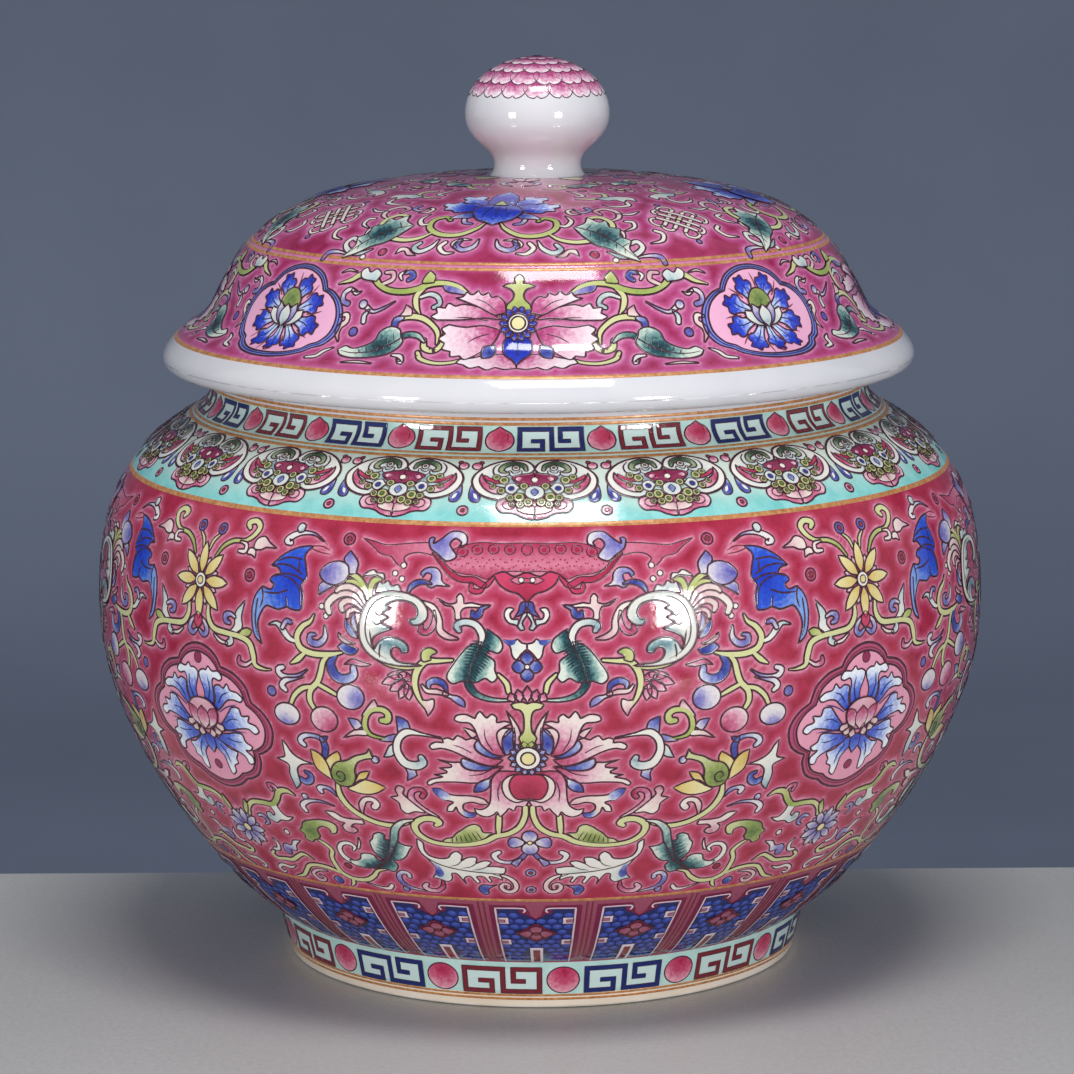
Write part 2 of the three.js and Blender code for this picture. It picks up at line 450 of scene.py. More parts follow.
def joined(name, parts, attribute="shade"):
    """One object from several surfaces, each given as points, faces, a field for its look or None,
    and its material."""
    points = np.concatenate([p[0] for p in parts])
    starts = np.cumsum([0] + [len(p[0]) for p in parts[:-1]])
    loops = np.concatenate([(p[1] + s).ravel() for p, s in zip(parts, starts)])
    sides = np.concatenate([np.full(len(p[1]), p[1].shape[1]) for p in parts])
    looks = {p[3].name: p[3] for p in parts}
    order = list(looks)
    mesh = bpy.data.meshes.new(name)
    mesh.vertices.add(len(points))
    mesh.vertices.foreach_set("co", points.astype(np.float32).ravel())
    mesh.loops.add(len(loops))
    mesh.loops.foreach_set("vertex_index", loops.astype(np.int32))
    mesh.polygons.add(len(sides))
    first = np.concatenate([[0], np.cumsum(sides)[:-1]])
    mesh.polygons.foreach_set("loop_start", first.astype(np.int32))
    mesh.polygons.foreach_set("loop_total", sides.astype(np.int32))
    for look in looks.values():
        mesh.materials.append(look)
    which = np.concatenate([np.full(len(p[1]), order.index(p[3].name)) for p in parts])
    mesh.polygons.foreach_set("material_index", which.astype(np.int32))
    mesh.update(calc_edges=True)
    mesh.polygons.foreach_set("use_smooth", np.ones(len(sides), bool))
    if any(p[2] is not None for p in parts):
        values = [np.zeros(len(p[0])) if p[2] is None else p[2] for p in parts]
        field = mesh.attributes.new(attribute, "FLOAT", "POINT")
        field.data.foreach_set("value", np.concatenate(values).astype(np.float32))
    piece = bpy.data.objects.new(name, mesh)
    bpy.context.scene.collection.objects.link(piece)
    return piece


def finish_piece(piece, body, slot, *nodes):
    """Says which body a piece rides on and the nodes that it replaces; slot is not used."""
    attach(piece, body)
    if nodes:
        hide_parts(*nodes)


def make_enamels(looks):
    """One piece for each enamel family on each body, with a material for each of its shades."""
    families = {}
    for (body, zone, enamel), parts in LAID.items():
        slot, material = looks[enamel]
        families.setdefault((body, zone, slot), []).extend((*part, material) for part in parts)
    for (body, zone, slot), parts in families.items():
        finish_piece(joined(f"{body}_{zone}{slot}", parts), body, slot)


def turned(outline, material, segments=384):
    """A smooth surface of revolution; the outline runs so that its left side faces inward."""
    r, z = np.asarray(outline, float).T
    angle = np.linspace(0, 2 * math.pi, segments, endpoint=False)
    points = np.stack([
        np.outer(r, np.sin(angle)), -np.outer(r, np.cos(angle)), np.repeat(z[:, None], segments, 1)
    ], axis=2).reshape(-1, 3) * MM
    return points, strip_faces(len(r), segments), None, material


def strip_faces(rows, columns):
    """Quads of a closed strip of rings, each ring of points following the last."""
    i, j = np.meshgrid(np.arange(rows - 1), np.arange(columns), indexing="ij")
    after = (j + 1) % columns
    return np.stack([i * columns + j, i * columns + after,
                     (i + 1) * columns + after, (i + 1) * columns + j], axis=2).reshape(-1, 4)


def edge_distance(edges, probes):
    """How far each probe point is from the nearest painted edge."""
    tree = kdtree.KDTree(len(edges))
    for k, (a, b) in enumerate(edges):
        tree.insert((a, b, 0), k)
    tree.balance()
    return np.array([tree.find((a, b, 0))[2] for a, b in probes])


def painted_ground(chart, low, high, material, edges=None, spacing=1.0, columns=784, framed=False):
    """A strip of ground colour. Its halo is how far each point is from the nearest painted edge."""
    y = np.linspace(low, high, max(2, int(round((high - low) / spacing)) + 1))
    x = np.arange(columns) * 2 * math.pi * chart.unit_r / columns
    halo = None
    if edges is not None:
        near = np.vstack(edges)
        eighth = x[:columns // 8 + 1]
        near = np.vstack([near, near * (-1, 1), near * (-1, 1) + (2 * eighth[-1], 0)])
        across, up = np.meshgrid(eighth, y)
        part = edge_distance(near, np.column_stack([across.ravel(), up.ravel()])).reshape(across.shape)
        halo = np.hstack([part[:, :-1], part[:, :0:-1]] * 4)
        if framed:
            halo = np.minimum(halo, np.minimum(y - low, high - y)[:, None])
        halo = halo.ravel()
    xx, yy = np.meshgrid(x, y)
    points = chart.place(np.column_stack([xx.ravel(), yy.ravel()]), 0.0)
    return points, strip_faces(len(y), columns), halo, material


def crown_ground(chart, low, high, material, edges, spacing=1.0, columns=560):
    """The same for the dome's top, on rings about its middle."""
    rho = np.linspace(high, low, int(round((high - low) / spacing)) + 1)
    angle = np.arange(columns) * 2 * math.pi / columns
    near = np.vstack(edges)
    near = np.vstack([near, near * (-1, 1)])
    near = np.vstack([chart.repeat(near, k / 4) for k in range(4)])
    rings = np.stack([np.outer(rho, np.sin(angle)), -np.outer(rho, np.cos(angle))], axis=2)
    halo = np.minimum(edge_distance(near, rings.reshape(-1, 2)), np.repeat(high - rho, columns))
    return chart.place(rings.reshape(-1, 2), 0.0), strip_faces(len(rho), columns), halo, material


# The main field: one half of a repeat, x from the lotus axis to the medallion axis -------------------

HALF_REPEAT = math.pi * JAR.unit_r / 4
HALF = Drawing()
WHOLE = Drawing()


def both_sides(drawing):
    """Gives the drawing once as it stands and once mirrored left to right."""
    for flip in (False, True):
        with drawing.at(0, 0, flip=flip):
            yield flip


def flower_ring(d, x, y, count, near, far, width, enamel, level=0, start=0.0, tip=0.75):
    """Petals standing round a centre, each pointed outward."""
    for k in range(count):
        with d.at(x, y, start + 360 * k / count):
            reach_out = far - near
            w = width / 2
            d.fill(f"{near},0! {near + 0.35 * reach_out},{-w} {near + tip * reach_out},{-0.8 * w} {far},0! "
                   f"{near + tip * reach_out},{0.8 * w} {near + 0.35 * reach_out},{w}",
                   enamel, (near, 0, reach_out), level)


def lotus(d):
    """The large lotus on the main axis."""
    for _ in both_sides(d):
        d.fill("5.5,-24! 8,-24.3 9.8,-26.5 10.3,-30 10.6,-33.5 11.5,-35.8 13.5,-37 15.3,-36.6! 14.6,-38.5"
               " 12,-39.5 9.9,-38.6 9,-37.6 8.2,-39.3 6.5,-37.6 5.6,-36.4 4.2,-37.2 3.4,-35.6 1.2,-35.7"
               " 0.2,-34.2! 0.2,-25", "pink", (4, -24, 15), 0)
        d.fill("11,-35! 12.5,-33.2 16,-32.3 20,-32.3 22.5,-31.8 24.5,-30.3 26.5,-30.2! 25.8,-32 23.8,-33.8"
               " 21,-34.6 22.6,-36 23.2,-37.9! 21.5,-37.8 20.4,-36.2 19.9,-38 18,-39.8 15.8,-39.6"
               " 14.9,-38.2! 17,-38 18.5,-36.7 18,-35 15.5,-34.4 13.5,-35", "blush", (13, -38, 9), 1)
        d.fill("22,-32 24.5,-30.3 26.5,-30.2! 25.8,-32 23.8,-33.8 22,-33.6", "blue", (26.5, -30, 5), 2, 0)
        d.fill("15,-38.2! 17.4,-38.1 18.6,-37.3 18.4,-39 17,-39.7 15.7,-39.4", "blue",
               (15.5, -38, 3.6), 2, 0)
        d.fill("10.3,-26.5! 12.5,-27 14.5,-29 15,-31! 12.5,-30.6 10.7,-29", "blue", (14.5, -30.5, 5), 1)
        d.fill("6.5,-22.5! 9,-22.7 12,-23.9 15.5,-24 17.5,-23 18.3,-21.6 20,-21.7 24.3,-21! 20.6,-22.4"
               " 20.7,-23.2 24,-23.6! 21.9,-24.5 22,-25 25.6,-25.8! 23.2,-26.3 26.5,-27.3 27.8,-28.5"
               " 27.3,-29.2 25,-28.2 20,-27.8 14,-27.9 11,-26.5 8.5,-24.3", "pink", (6.5, -22.5, 15), 1)
        d.fill("6.5,-20.5! 10,-20 13,-18.6 14.2,-16.6 12.9,-15! 14.5,-14.4 16.2,-14.9 17,-14.4 18.5,-13.8"
               " 19.6,-15 21,-14.5 22.5,-15.1 22.3,-15.9 24.5,-15.9 26.1,-17 25.5,-18 23,-17.6 20,-18.3"
               " 16.5,-20 13,-21.7 9,-22.4", "pink", (6.5, -21, 15), 1)
        d.fill("6,-19.5! 7.5,-16 8,-13 6.8,-11.5 4,-10! 6,-9.5 8,-9.8 8,-8.5 9.2,-7.6 10.5,-8.6 11.1,-8.2"
               " 12.3,-6.9 13.3,-8 13.6,-8.8 16,-7.8 18.5,-8.2 19,-9.4 17.5,-10 15,-10.2 13.7,-12 13,-14.2"
               " 12,-16.5 9.5,-18.8", "pink", (6, -20, 12), 1)
        d.fill("6.5,-19.8! 9.5,-18.7 12,-16.5 13,-15 13.9,-16 13.6,-17.6 11.5,-19.2 9,-20", "blue",
               (7, -20, 9), 2)
        d.fill("9,-22.6! 12,-22.3 15,-21.2 17.5,-20.4 17.7,-22 16.3,-23.5 13,-23.9 10.5,-23.6", "blue",
               (9, -23, 10), 2)
        d.fill("13.2,-13.4 14.4,-12.2 16.8,-11.4! 15.4,-13.4 14.6,-14.3", "blush", (13, -14, 4), 1)
        d.fill("4.2,-11.8 6.5,-11.4 8,-12.9 7.6,-15.8 6.6,-17.6 6.6,-14.6", "blush", (6.8, -17, 7), 2)
        d.fill("3.4,-11.2! 5.2,-12 6.5,-14 6.6,-17 5.6,-19 4,-17.5 3.3,-15", "blue", (5, -15.5, 5), 2)
        d.fill("2,-16! 1.9,-12.5 3.3,-9.4 5.5,-6.5! 4.3,-9.6 3.8,-12 3.9,-15.5 3.2,-17.5", "blush",
               (3, -16, 8), 2)
        d.line("6.2,-23 9,-23.1 12.5,-25 16,-25.6", 0.35, level=2)
        d.line("9.2,-18 11,-14.6 11.3,-11.6", 0.3, level=2, ends=(1, 0.1))
        d.line("15,-18.6 17.8,-17 20,-16.4", 0.3, level=2, ends=(1, 0.1))
        d.line("7.4,-27 8.4,-30.5 8.2,-34.2", 0.3, level=2, ends=(0.4, 0.1))
    d.fill("0,-25 4,-25.1 6.6,-26.8 7.2,-29.4 6.2,-32.4 3.6,-34.2 1.6,-33.7 0,-33.5! -1.6,-33.7 -3.6,-34.2"
           " -6.2,-32.4 -7.2,-29.4 -6.6,-26.8 -4,-25.1", "blush", (0, -29, 8), 1)
    d.fill("0,-25 3.6,-25.3 5.1,-27.6 4.9,-30.6 3.2,-33 0,-32.9 -3.2,-33 -4.9,-30.6 -5.1,-27.6 -3.6,-25.3",
           "ruby", (0, -31, 8), 2)
    d.fill("0,-4.6 1.2,-4.2 3.2,-4.4 4.2,-4.9! 3.4,-6 1.9,-6.4 1.1,-7.6 0.9,-10.4 1.2,-12.4 2.3,-14"
           " 1.9,-15.4 2.5,-16.6 1.4,-17.6 0,-17.8 -1.4,-17.6 -2.5,-16.6 -1.9,-15.4 -2.3,-14 -1.2,-12.4"
           " -0.9,-10.4 -1.1,-7.6 -1.9,-6.4 -3.4,-6 -4.2,-4.9! -3.2,-4.4 -1.2,-4.2", "lime", (0, -17, 7), 3)
    for x, top, lean in ((-4.6, -1.7, 24), (4.6, -1.7, -24), (-2.4, -0.9, 12), (2.4, -0.9, -12), (0, 0, 0)):
        with d.at(x * 0.75, -4.2, lean):
            tall = top + 4.3
            d.fill(f"0,0! -1.25,{tall * 0.45} 0,{tall}! 1.25,{tall * 0.45}", "pink",
                   (0, tall, tall * 1.3), 1)
    flower_ring(d, 0, -20, 14, 2.6, 5.2, 2.3, "blue", 3, tip=0.62)
    d.spot(0, -20, 3.3, "white", 4)
    d.spot(0, -20, 1.9, "yellow", 5, shade=0.8)


def hatching(d, top, tip, count, left, right, level):
    """Fine dark strokes off both sides of a leaf's rib."""
    (x0, y0), (x1, y1) = top, tip
    long = math.hypot(x1 - x0, y1 - y0)
    ahead = ((x1 - x0) / long, (y1 - y0) / long)
    d.line(f"{x0},{y0} {(x0 + x1) / 2 + 0.3},{(y0 + y1) / 2} {x1},{y1}", 0.7, "pine", level, (0.5, 0.3))
    for k in range(count):
        t = (k + 0.5) / count
        x, y = x0 + t * (x1 - x0), y0 + t * (y1 - y0)
        for sign, reach_out in ((1, left), (-1, right)):
            far = reach_out * (0.55 + 0.45 * math.sin(math.pi * min(1, 0.15 + t)))
            across = (sign * ahead[1] * far, -sign * ahead[0] * far)
            middle = f"{x + across[0] * 0.5 + ahead[0] * 0.1},{y + across[1] * 0.5 + ahead[1] * 0.1}"
            end = f"{x + across[0] + ahead[0] * 0.6},{y + across[1] + ahead[1] * 0.6}"
            d.line(f"{x},{y} {middle} {end}", 0.34, "pine", level, (1, 0.1))


def canopy(d):
    """The hanging cloud under the shoulder and what it holds."""
    for _ in both_sides(d):
        d.fill("19,33.5 21,36.8 19.6,38.6 17.8,37.4 18.6,36.2! 16.4,37.2 17,40 20.6,40.6 23.4,38.4"
               " 25.6,36.9 25.4,38.7 26.8,38.2 26.2,35.6 23.8,33.8 21.6,32.2", "violet", (24, 37.5, 8), 2)
        d.fill("21,33.6! 25.4,33.7 29,34.3 32,33.8 33.4,32.4 32.3,31! 33.8,30.2 35.4,31.2 37,32.8 40,33.4"
               " 42.6,35.4 46,37.6! 42,36.7 39,36 35.6,36.3 31,36.9 25,37.2 21,36.6", "swag", (46, 36, 27),
               0, 0.35, grid=1.2)
        d.spot(33.2, 30.6, 0.8, "blush", 1, 0.3)
        d.fill("2.6,15! 2.2,17.2 3.9,17.3 4.4,18.6 3.4,19.9 5,20.2 5.9,18.4 4.8,16.4 2.8,15.7 1.6,14.4!"
               " 0.6,14.7 1.2,16.3 0,18.4! 0,20.4 1.4,18", "white", (1, 16, 5), 1)
        d.fill("0,19.2! -0.4,21.6 1.4,21.6 2.2,19.2! 3.4,17.6! 1.6,18.4", "blue", (1, 20, 4), 1)
        d.fill("2.4,12.2! 3.6,11.6 6.2,11.9! 4.4,10.3 3.8,7.8 2.8,6.8 1.4,8.4 0,9.6! 0,10.8 1.4,11.2",
               "white", (5.8, 12, 5), 0)
        d.fill("2.9,11.9! 4.4,11.9 6.2,11.9! 4.6,10.6 3.2,10.9", "blue", (4, 11.4, 3), 1, 0)
    d.fill("0,37.6 7,37.4 13,37.6 18,36.4 21.6,34.8 25.4,34.4! 22.4,32.2 20.4,30.2 17.4,29 13.6,28.6"
           " 10.4,27.6 8.4,29 4,29.8 0,29.6 -4,29.8 -8.4,29 -10.4,27.6 -13.6,28.6 -17.4,29 -20.4,30.2"
           " -22.4,32.2 -25.4,34.4! -21.6,34.8 -18,36.4 -13,37.6 -7,37.4", "swag", (0, 38, 0, 28.6), 0, 0.3,
           grid=1.2)
    for _ in both_sides(d):
        d.brush("8.6,28.2,0.6 11,26,1.5 14,27.3,1.7 17.4,27.5,1.5 20.4,29,1.5 22.8,31.6,1.2 25.4,34.2,0.5",
                "ruby", (25, 34, 22), 1, 0.35)
        d.brush("10.8,26.2,0.5 12.4,24.4,1.2 14.6,24.8,1.3 14.6,26.4,0.9", "ruby", None, 1, 0.35, shade=0.7)
        for x, y in ((4.6, 35.6), (9, 35.7), (13.4, 35.5), (17.4, 34.8)):
            d.spot(x, y, 1.5, "swag", 1, 0.3, shade=0.2, squash=0.85)
            d.spot(x, y, 0.6, "ruby", 2, 0, 0.2)
        for k in range(34):
            d.spot(0.5 + 0.6 * k, 31.4 + 1.3 * math.sin(2.4 * k) + 0.03 * k, 0.22, "ruby", 1, 0, 0.2)
    d.spot(0, 35.6, 1.5, "swag", 1, 0.3, shade=0.2)
    d.fill("0,21.6! 2.2,23.8 4.8,24.6 7.2,26.2 8.8,28.8! 6,29.6 3.4,28.4 0,29.4 -3.4,28.4 -6,29.6"
           " -8.8,28.8! -7.2,26.2 -4.8,24.6 -2.2,23.8", "ruby", (0, 21, 9), 1, shade=0.5)
    d.fill("0,26.8 2.4,26.4 4.6,27.4! 2.6,28.2 0,27.9 -2.6,28.2 -4.6,27.4! -2.4,26.4", "swag", (0, 29, 5),
           2, 0.3)
    for x in (-1.5, 1.5):
        d.spot(x, 27.4, 0.7, "blush", 3, 0.3)
    for angle in (0, 90, 180, 270):
        with d.at(0, 5, angle):
            d.fill("0.4,0! 1.2,1.4 2.7,1.5 3.9,0 2.7,-1.5 1.2,-1.4", "blue", (4, 0, 4.6), 1)
    d.spot(0, 5, 0.7, "white", 2, 0.4)


def lower_axis(d):
    """The small flower, its tails and the drops on the axis under the lotus."""
    for _ in both_sides(d):
        d.fill("1.6,-48.6! 3.6,-47.2 5.5,-47.2 6.4,-49 5.6,-51.1 3.8,-51 1.8,-49.8", "violet",
               (6.4, -49, 5), 1)
        d.brush("1.2,-53.6,1.4 3.4,-56.4,1.7 6.6,-57.6,1.4 9.8,-56.8,1.6 10.9,-54.6,2 9.4,-53.3,1.7",
                "violet", (2, -55, 8), 0)
        d.fill("2.6,-55.6 3.2,-57.6 4.2,-59.4! 5.8,-57.9 5,-56.8", "violet", (4, -58, 3), 1)
    d.spot(0, -46.8, 2.3, "violet", 1, root=(0, -44.6, 4.4))
    d.spot(0, -51.6, 2.5, "violet", 1, root=(0, -54.2, 4.8))
    d.spot(0, -49.1, 0.8, "yellow", 2, 0.4)
    for y in (-62.2, -70.4):
        d.spot(0, y, 1.6, "violet", 0, root=(0, y, 2.6), shade=0.2)
        d.spot(0, y, 0.7, "maroon", 1, 0.3)


MEDALLION = ("0,4 4.5,3 7.5,0.8 8.8,-1.3! 13.5,-2.5 17.5,-5.5 19.2,-9.9! 22.5,-12 24.7,-15 25.1,-18"
             " 23.5,-22 20.5,-24.3 18.3,-25.2! 18.2,-28 16,-32 12.5,-34 10.5,-34.5! 7.5,-36.7 3.5,-38.3"
             " 0,-38.8")


def mirrored_outline(half):
    """Closes a half outline with its mirror image."""
    words = half.split()
    back = ["-" + w if not w.startswith("-") else w[1:] for w in words[-2:0:-1]]
    return " ".join(words + back)


def medallion(d, x):
    """The lobed medallion and its peony."""
    with d.at(x, 0):
        d.fill(mirrored_outline(MEDALLION), "border", None, 0, 0.7, grid=2.0)
        with d.at(0, -17.4 * 0.06, size=0.94):
            d.line(mirrored_outline(MEDALLION), 0.3, "maroon", 1, closed=True)
        with d.at(0, -17.4 * 0.1, size=0.9):
            d.fill(mirrored_outline(MEDALLION), "rose", (0, -17, 26), 1, 0.6, grid=1.8)
        for _ in both_sides(d):
            d.fill("2,-21! 4.5,-23 7.5,-25 10.2,-25.8 9,-28 9.2,-29.3 7.3,-30.5 7,-32.5 5.2,-33.7 4.6,-31.5"
                   " 4.2,-28 2,-25.5 1,-23", "peony", (1.5, -21, 11), 2)
            d.fill("4.5,-20.6! 8.5,-20.2 11.5,-19.5 14,-19.7 14.7,-21.8 16.8,-23 15.7,-24.3 14,-24.5"
                   " 16.1,-26.5 15.7,-28.4 14,-28.7 13.2,-26.6 10.5,-25.2 7,-23.9 4.3,-22.6", "peony",
                   (4, -21, 12), 3)
            d.fill("5.4,-18.8! 8.5,-15.8 11,-13 12,-12 14.5,-12 15.2,-14 17.9,-13.8 17.2,-15.5 19.7,-16.3"
                   " 20.6,-17.8 19,-18.8 17,-17.6 13.5,-18 9.5,-19", "peony", (5.5, -18.5, 13), 3)
            d.fill("4.9,-12.8! 6,-10 6,-7 8,-6.3 9.5,-7 11,-5.6 12,-7.2 14.5,-7.6 16.3,-9 15.5,-10.1"
                   " 13,-9.8 10.5,-10.3 8.5,-12 6.4,-13.7!", "peony", (5, -13.5, 11), 2)
            d.fill("1.5,-11.4! 1.7,-8.5 0.5,-5.5 0.3,-3.6 2,-2.7 3.2,-2.8 4,-1.7 5.5,-2.8 8,-2.6 9.3,-4.2"
                   " 8.2,-5.1 6,-4.7 5.3,-6 5.5,-9 4.9,-12!", "peony", (2.6, -12, 9), 2)
            for path in ("7,-14 10,-12.2 14,-11", "6.8,-19.6 11,-19 16,-18.9", "3.2,-11 4.2,-7.6 3.8,-4.6",
                         "7,-11.4 9,-8.9 11.6,-7.8", "8.2,-17 11.4,-15.4 14,-15.4",
                         "7.6,-21.6 11,-22.2 13.6,-22", "4,-24 5.8,-27 6.2,-30"):
                d.line(path, 0.35, "navy", 4, (0.8, 0.15))
            d.fill("2,-19.4! 3.6,-20.8 2.6,-22.2 1,-21.4", "blush", (2, -20, 3), 5)
            d.fill("3.8,-18.8! 6,-19.6 5.4,-21 3.6,-20.8", "blush", (4, -19, 3), 5)
            d.fill("5,-17.4! 7.4,-18 7.4,-19.4 5.6,-19.6 4.4,-18.6", "blush", (5, -18, 3), 5)
        d.fill("1.6,-21.6! 1.8,-25 0,-27.4! -1.8,-25 -1.6,-21.6", "peony", (0, -22, 9), 3)
        d.fill("0,-10.8 3.4,-11.4 5.8,-13.6 5.6,-16 4,-18.6 0,-20 -4,-18.6 -5.6,-16 -5.8,-13.6 -3.4,-11.4",
               "rosy", (0, -11, 9), 5)
        for _ in both_sides(d):
            d.fill("2,-19.2! 4.8,-17.6 5.9,-14.8 5.4,-13.2! 3.2,-13.8 2,-15.4 2,-17.6", "pink",
                   (4.6, -13.6, 6), 6, 0.35)
        d.fill("0,-19.8! 2,-17.8 2.2,-15.2 0,-13! -2.2,-15.2 -2,-17.8", "pink", (0, -13.4, 6.6), 7, 0.35)
        for y in (0.2, -31.2):
            d.spot(0, y, 1.5, "frame", 2, 0.3)


def daisies(d, x):
    """The yellow daisy over the medallion and the pale one under it."""
    with d.at(x, 0):
        flower_ring(d, 0, 21, 8, 2, 7, 1.8, "pink", 0, 22.5)
        flower_ring(d, 0, 21, 8, 1.5, 10.6, 3.1, "yellow", 1, 1)
        d.spot(0, 21, 2.1, "white", 2)
        d.spot(0, 21, 1.1, "yellow", 3, 0.35, 0.6)
        flower_ring(d, 0, -54.5, 9, 1.5, 7, 2.2, "blue", 0, 20)
        flower_ring(d, 0, -54.5, 9, 1.2, 8, 2.9, "violet", 1, 0)
        d.spot(0, -54.5, 1.6, "yellow", 2)
        for _ in both_sides(d):
            d.brush("0.6,11.6,0.6 2.9,9.6,1.4 3.6,7.6,1.7 2.2,6.6,1.6 0.6,7.6,1", "violet", (2.5, 7, 4), 0)
        d.fill("0,12.6! 1.6,11 1.4,9.2 0,8! -1.4,9.2 -1.6,11", "ruby", None, 1)


def upper_scrolls(d):
    """Leaves, curls and fruit from the lotus up to the shoulder."""
    # dark curled leaf beside the small blue flower
    d.brush("4,-3.8,0.6 9,-3.7,1.1 13,-2.4,1.6 15,0,2 15.2,2,2", "teal", (15, 2, 13), 0)
    d.fill("10.4,14.8! 8.5,13.5 6.8,12 6.3,10 7.4,8.5 9.8,9.1 10.6,8.2 8.4,6.4 8.3,4 7.7,2.2 9,0.9 10.8,1.9"
           " 12.8,0.9 14.2,0.8 15.3,1.6! 13.9,5.4 11.9,9.6 11,12.4", "teal",
           ("10.8,13.6 11.6,10 13.6,6 15.2,1.8", 5.2), 1)
    d.fill("12.6,11.2! 15,10.2 17,8.2 18.8,5.8 20.5,3.2 20.7,1.5 19.2,0.3 17,1 15.3,0.9! 14.6,4.4 12.9,7.8"
           " 11.7,10.2", "teal", ("10.8,13.6 11.6,10 13.6,6 15.2,1.8", 5), 1)
    d.brush("12,10.6,1 11.6,13.2,1.9 13.2,15.7,1.9 16.2,16.4,1.8 18.2,15.4,1.8 17.6,14.2,1.4", "white",
            (18, 15, 8), 2)
    hatching(d, (11.6, 11.6), (15, 1.8), 13, 3.6, 3.2, 2)
    d.brush("4.8,-1.6,1.3 5.3,0.6,1.5 7.4,2.9,0.9", "lime", None, 0)
    # sprig, blue drop and white curl
    d.fill("9,21! 12,20.9 14.5,21.4 16.4,21.2 16.6,22.6 17.4,23.7 18.4,22.7 18.4,21.4 20.6,21 23.6,22.4!"
           " 21.4,20.6 19.4,20.2 18.8,18.6 18.6,17 17.2,17 17.3,18.8 16.2,20 13.5,20.2 11,20.2", "blush",
           (23, 22, 9), 0)
    d.brush("9.8,20.7,0.4 11.8,19.8,1.2 12.6,18.3,1.9 14,18.2,1.6 14.1,19,1", "blue", (13, 18.5, 4), 1)
    d.brush("18,12,0.6 20.6,12.5,1.6 22.6,14,1.8 23,17,1.7 24.8,20,1.6 28.4,21.4,0.7", "blush",
            (18, 12, 9), 0)
    d.brush("24.2,18.8,0.7 24.4,15.5,1.5 26.2,13.4,1.5 27.8,13.9,1.6 27.6,15.1,1.1", "pink", (27, 14, 6), 0)
    d.fill("20,25.4! 22.4,26.7 22.8,28.8 24.4,30.3 27,30.1 28.4,28.6 27.6,27.6! 26.8,28.8 25.4,28.4 25.6,27"
           " 27,25.8 25.2,25 23.8,25.6", "violet", (26.6, 28, 5), 0)
    d.brush("25.4,26,0.5 28,26.4,1.3 30.4,25.4,1.5 31.6,23.4,0.5", "blue", (28, 26, 5), 1)
    # the green branch and its petals
    d.brush("19.4,6.4,0.9 23,6.1,1.3 26.4,5.8,1.8 28.6,3.4,2 29.3,0,1.8 28.4,-3.4,1.4 26.6,-6.4,0.6",
            "lime", None, 1)
    d.fill("24.9,6.3! 25,7.4 23.3,8.4 25.2,9.5 27.2,8.7 27.6,7 27,5.8", "lime", (24, 8, 4), 2)
    d.brush("27.4,4.8,1 31,4,1.2 36,4.6,1.4 40,6.6,1.6", "lime", None, 1)
    d.brush("20.8,-1.8,0.6 21.6,0,1.6 23.6,0.9,1.7 25.6,0.3,1.5 25.6,-0.8,1", "blue", (22, -0.5, 5), 0)
    d.brush("20.8,-2.6,0.8 23.4,-2,1.4 26.2,-1.8,1.2 27.4,-0.4,0.6", "blush", (20.8, -2.6, 7), 0)
    d.fill("16.2,-6! 16.2,-4.4 17.8,-3 20,-2.6 21.6,-1.4 21.8,-3 20,-3.6 18.2,-5", "violet",
           (16.6, -5, 5), 0)
    d.fill("26.2,-4.4! 24.4,-4 24.4,-6.2 26,-8.7! 26.8,-6.6 28.4,-4.4", "blush", (26, -8.5, 5), 0)
    for x, y, turn, size in ((36.8, 1.7, -6, 5.2), (38.4, -0.6, -22, 6), (36.2, -2.4, -34, 5.2),
                             (33.6, -4.4, -62, 4.6), (30.9, -4.7, -96, 4.2), (34.2, 2.4, 18, 4.2),
                             (32.2, -1.6, -46, 3.4)):
        with d.at(x, y, turn):
            d.fill(f"0,0! {-size * 0.45},1.15 {-size},0.5 {-size},-0.5 {-size * 0.45},-1.15", "pink",
                   (-size, 0, size * 1.25), 0)


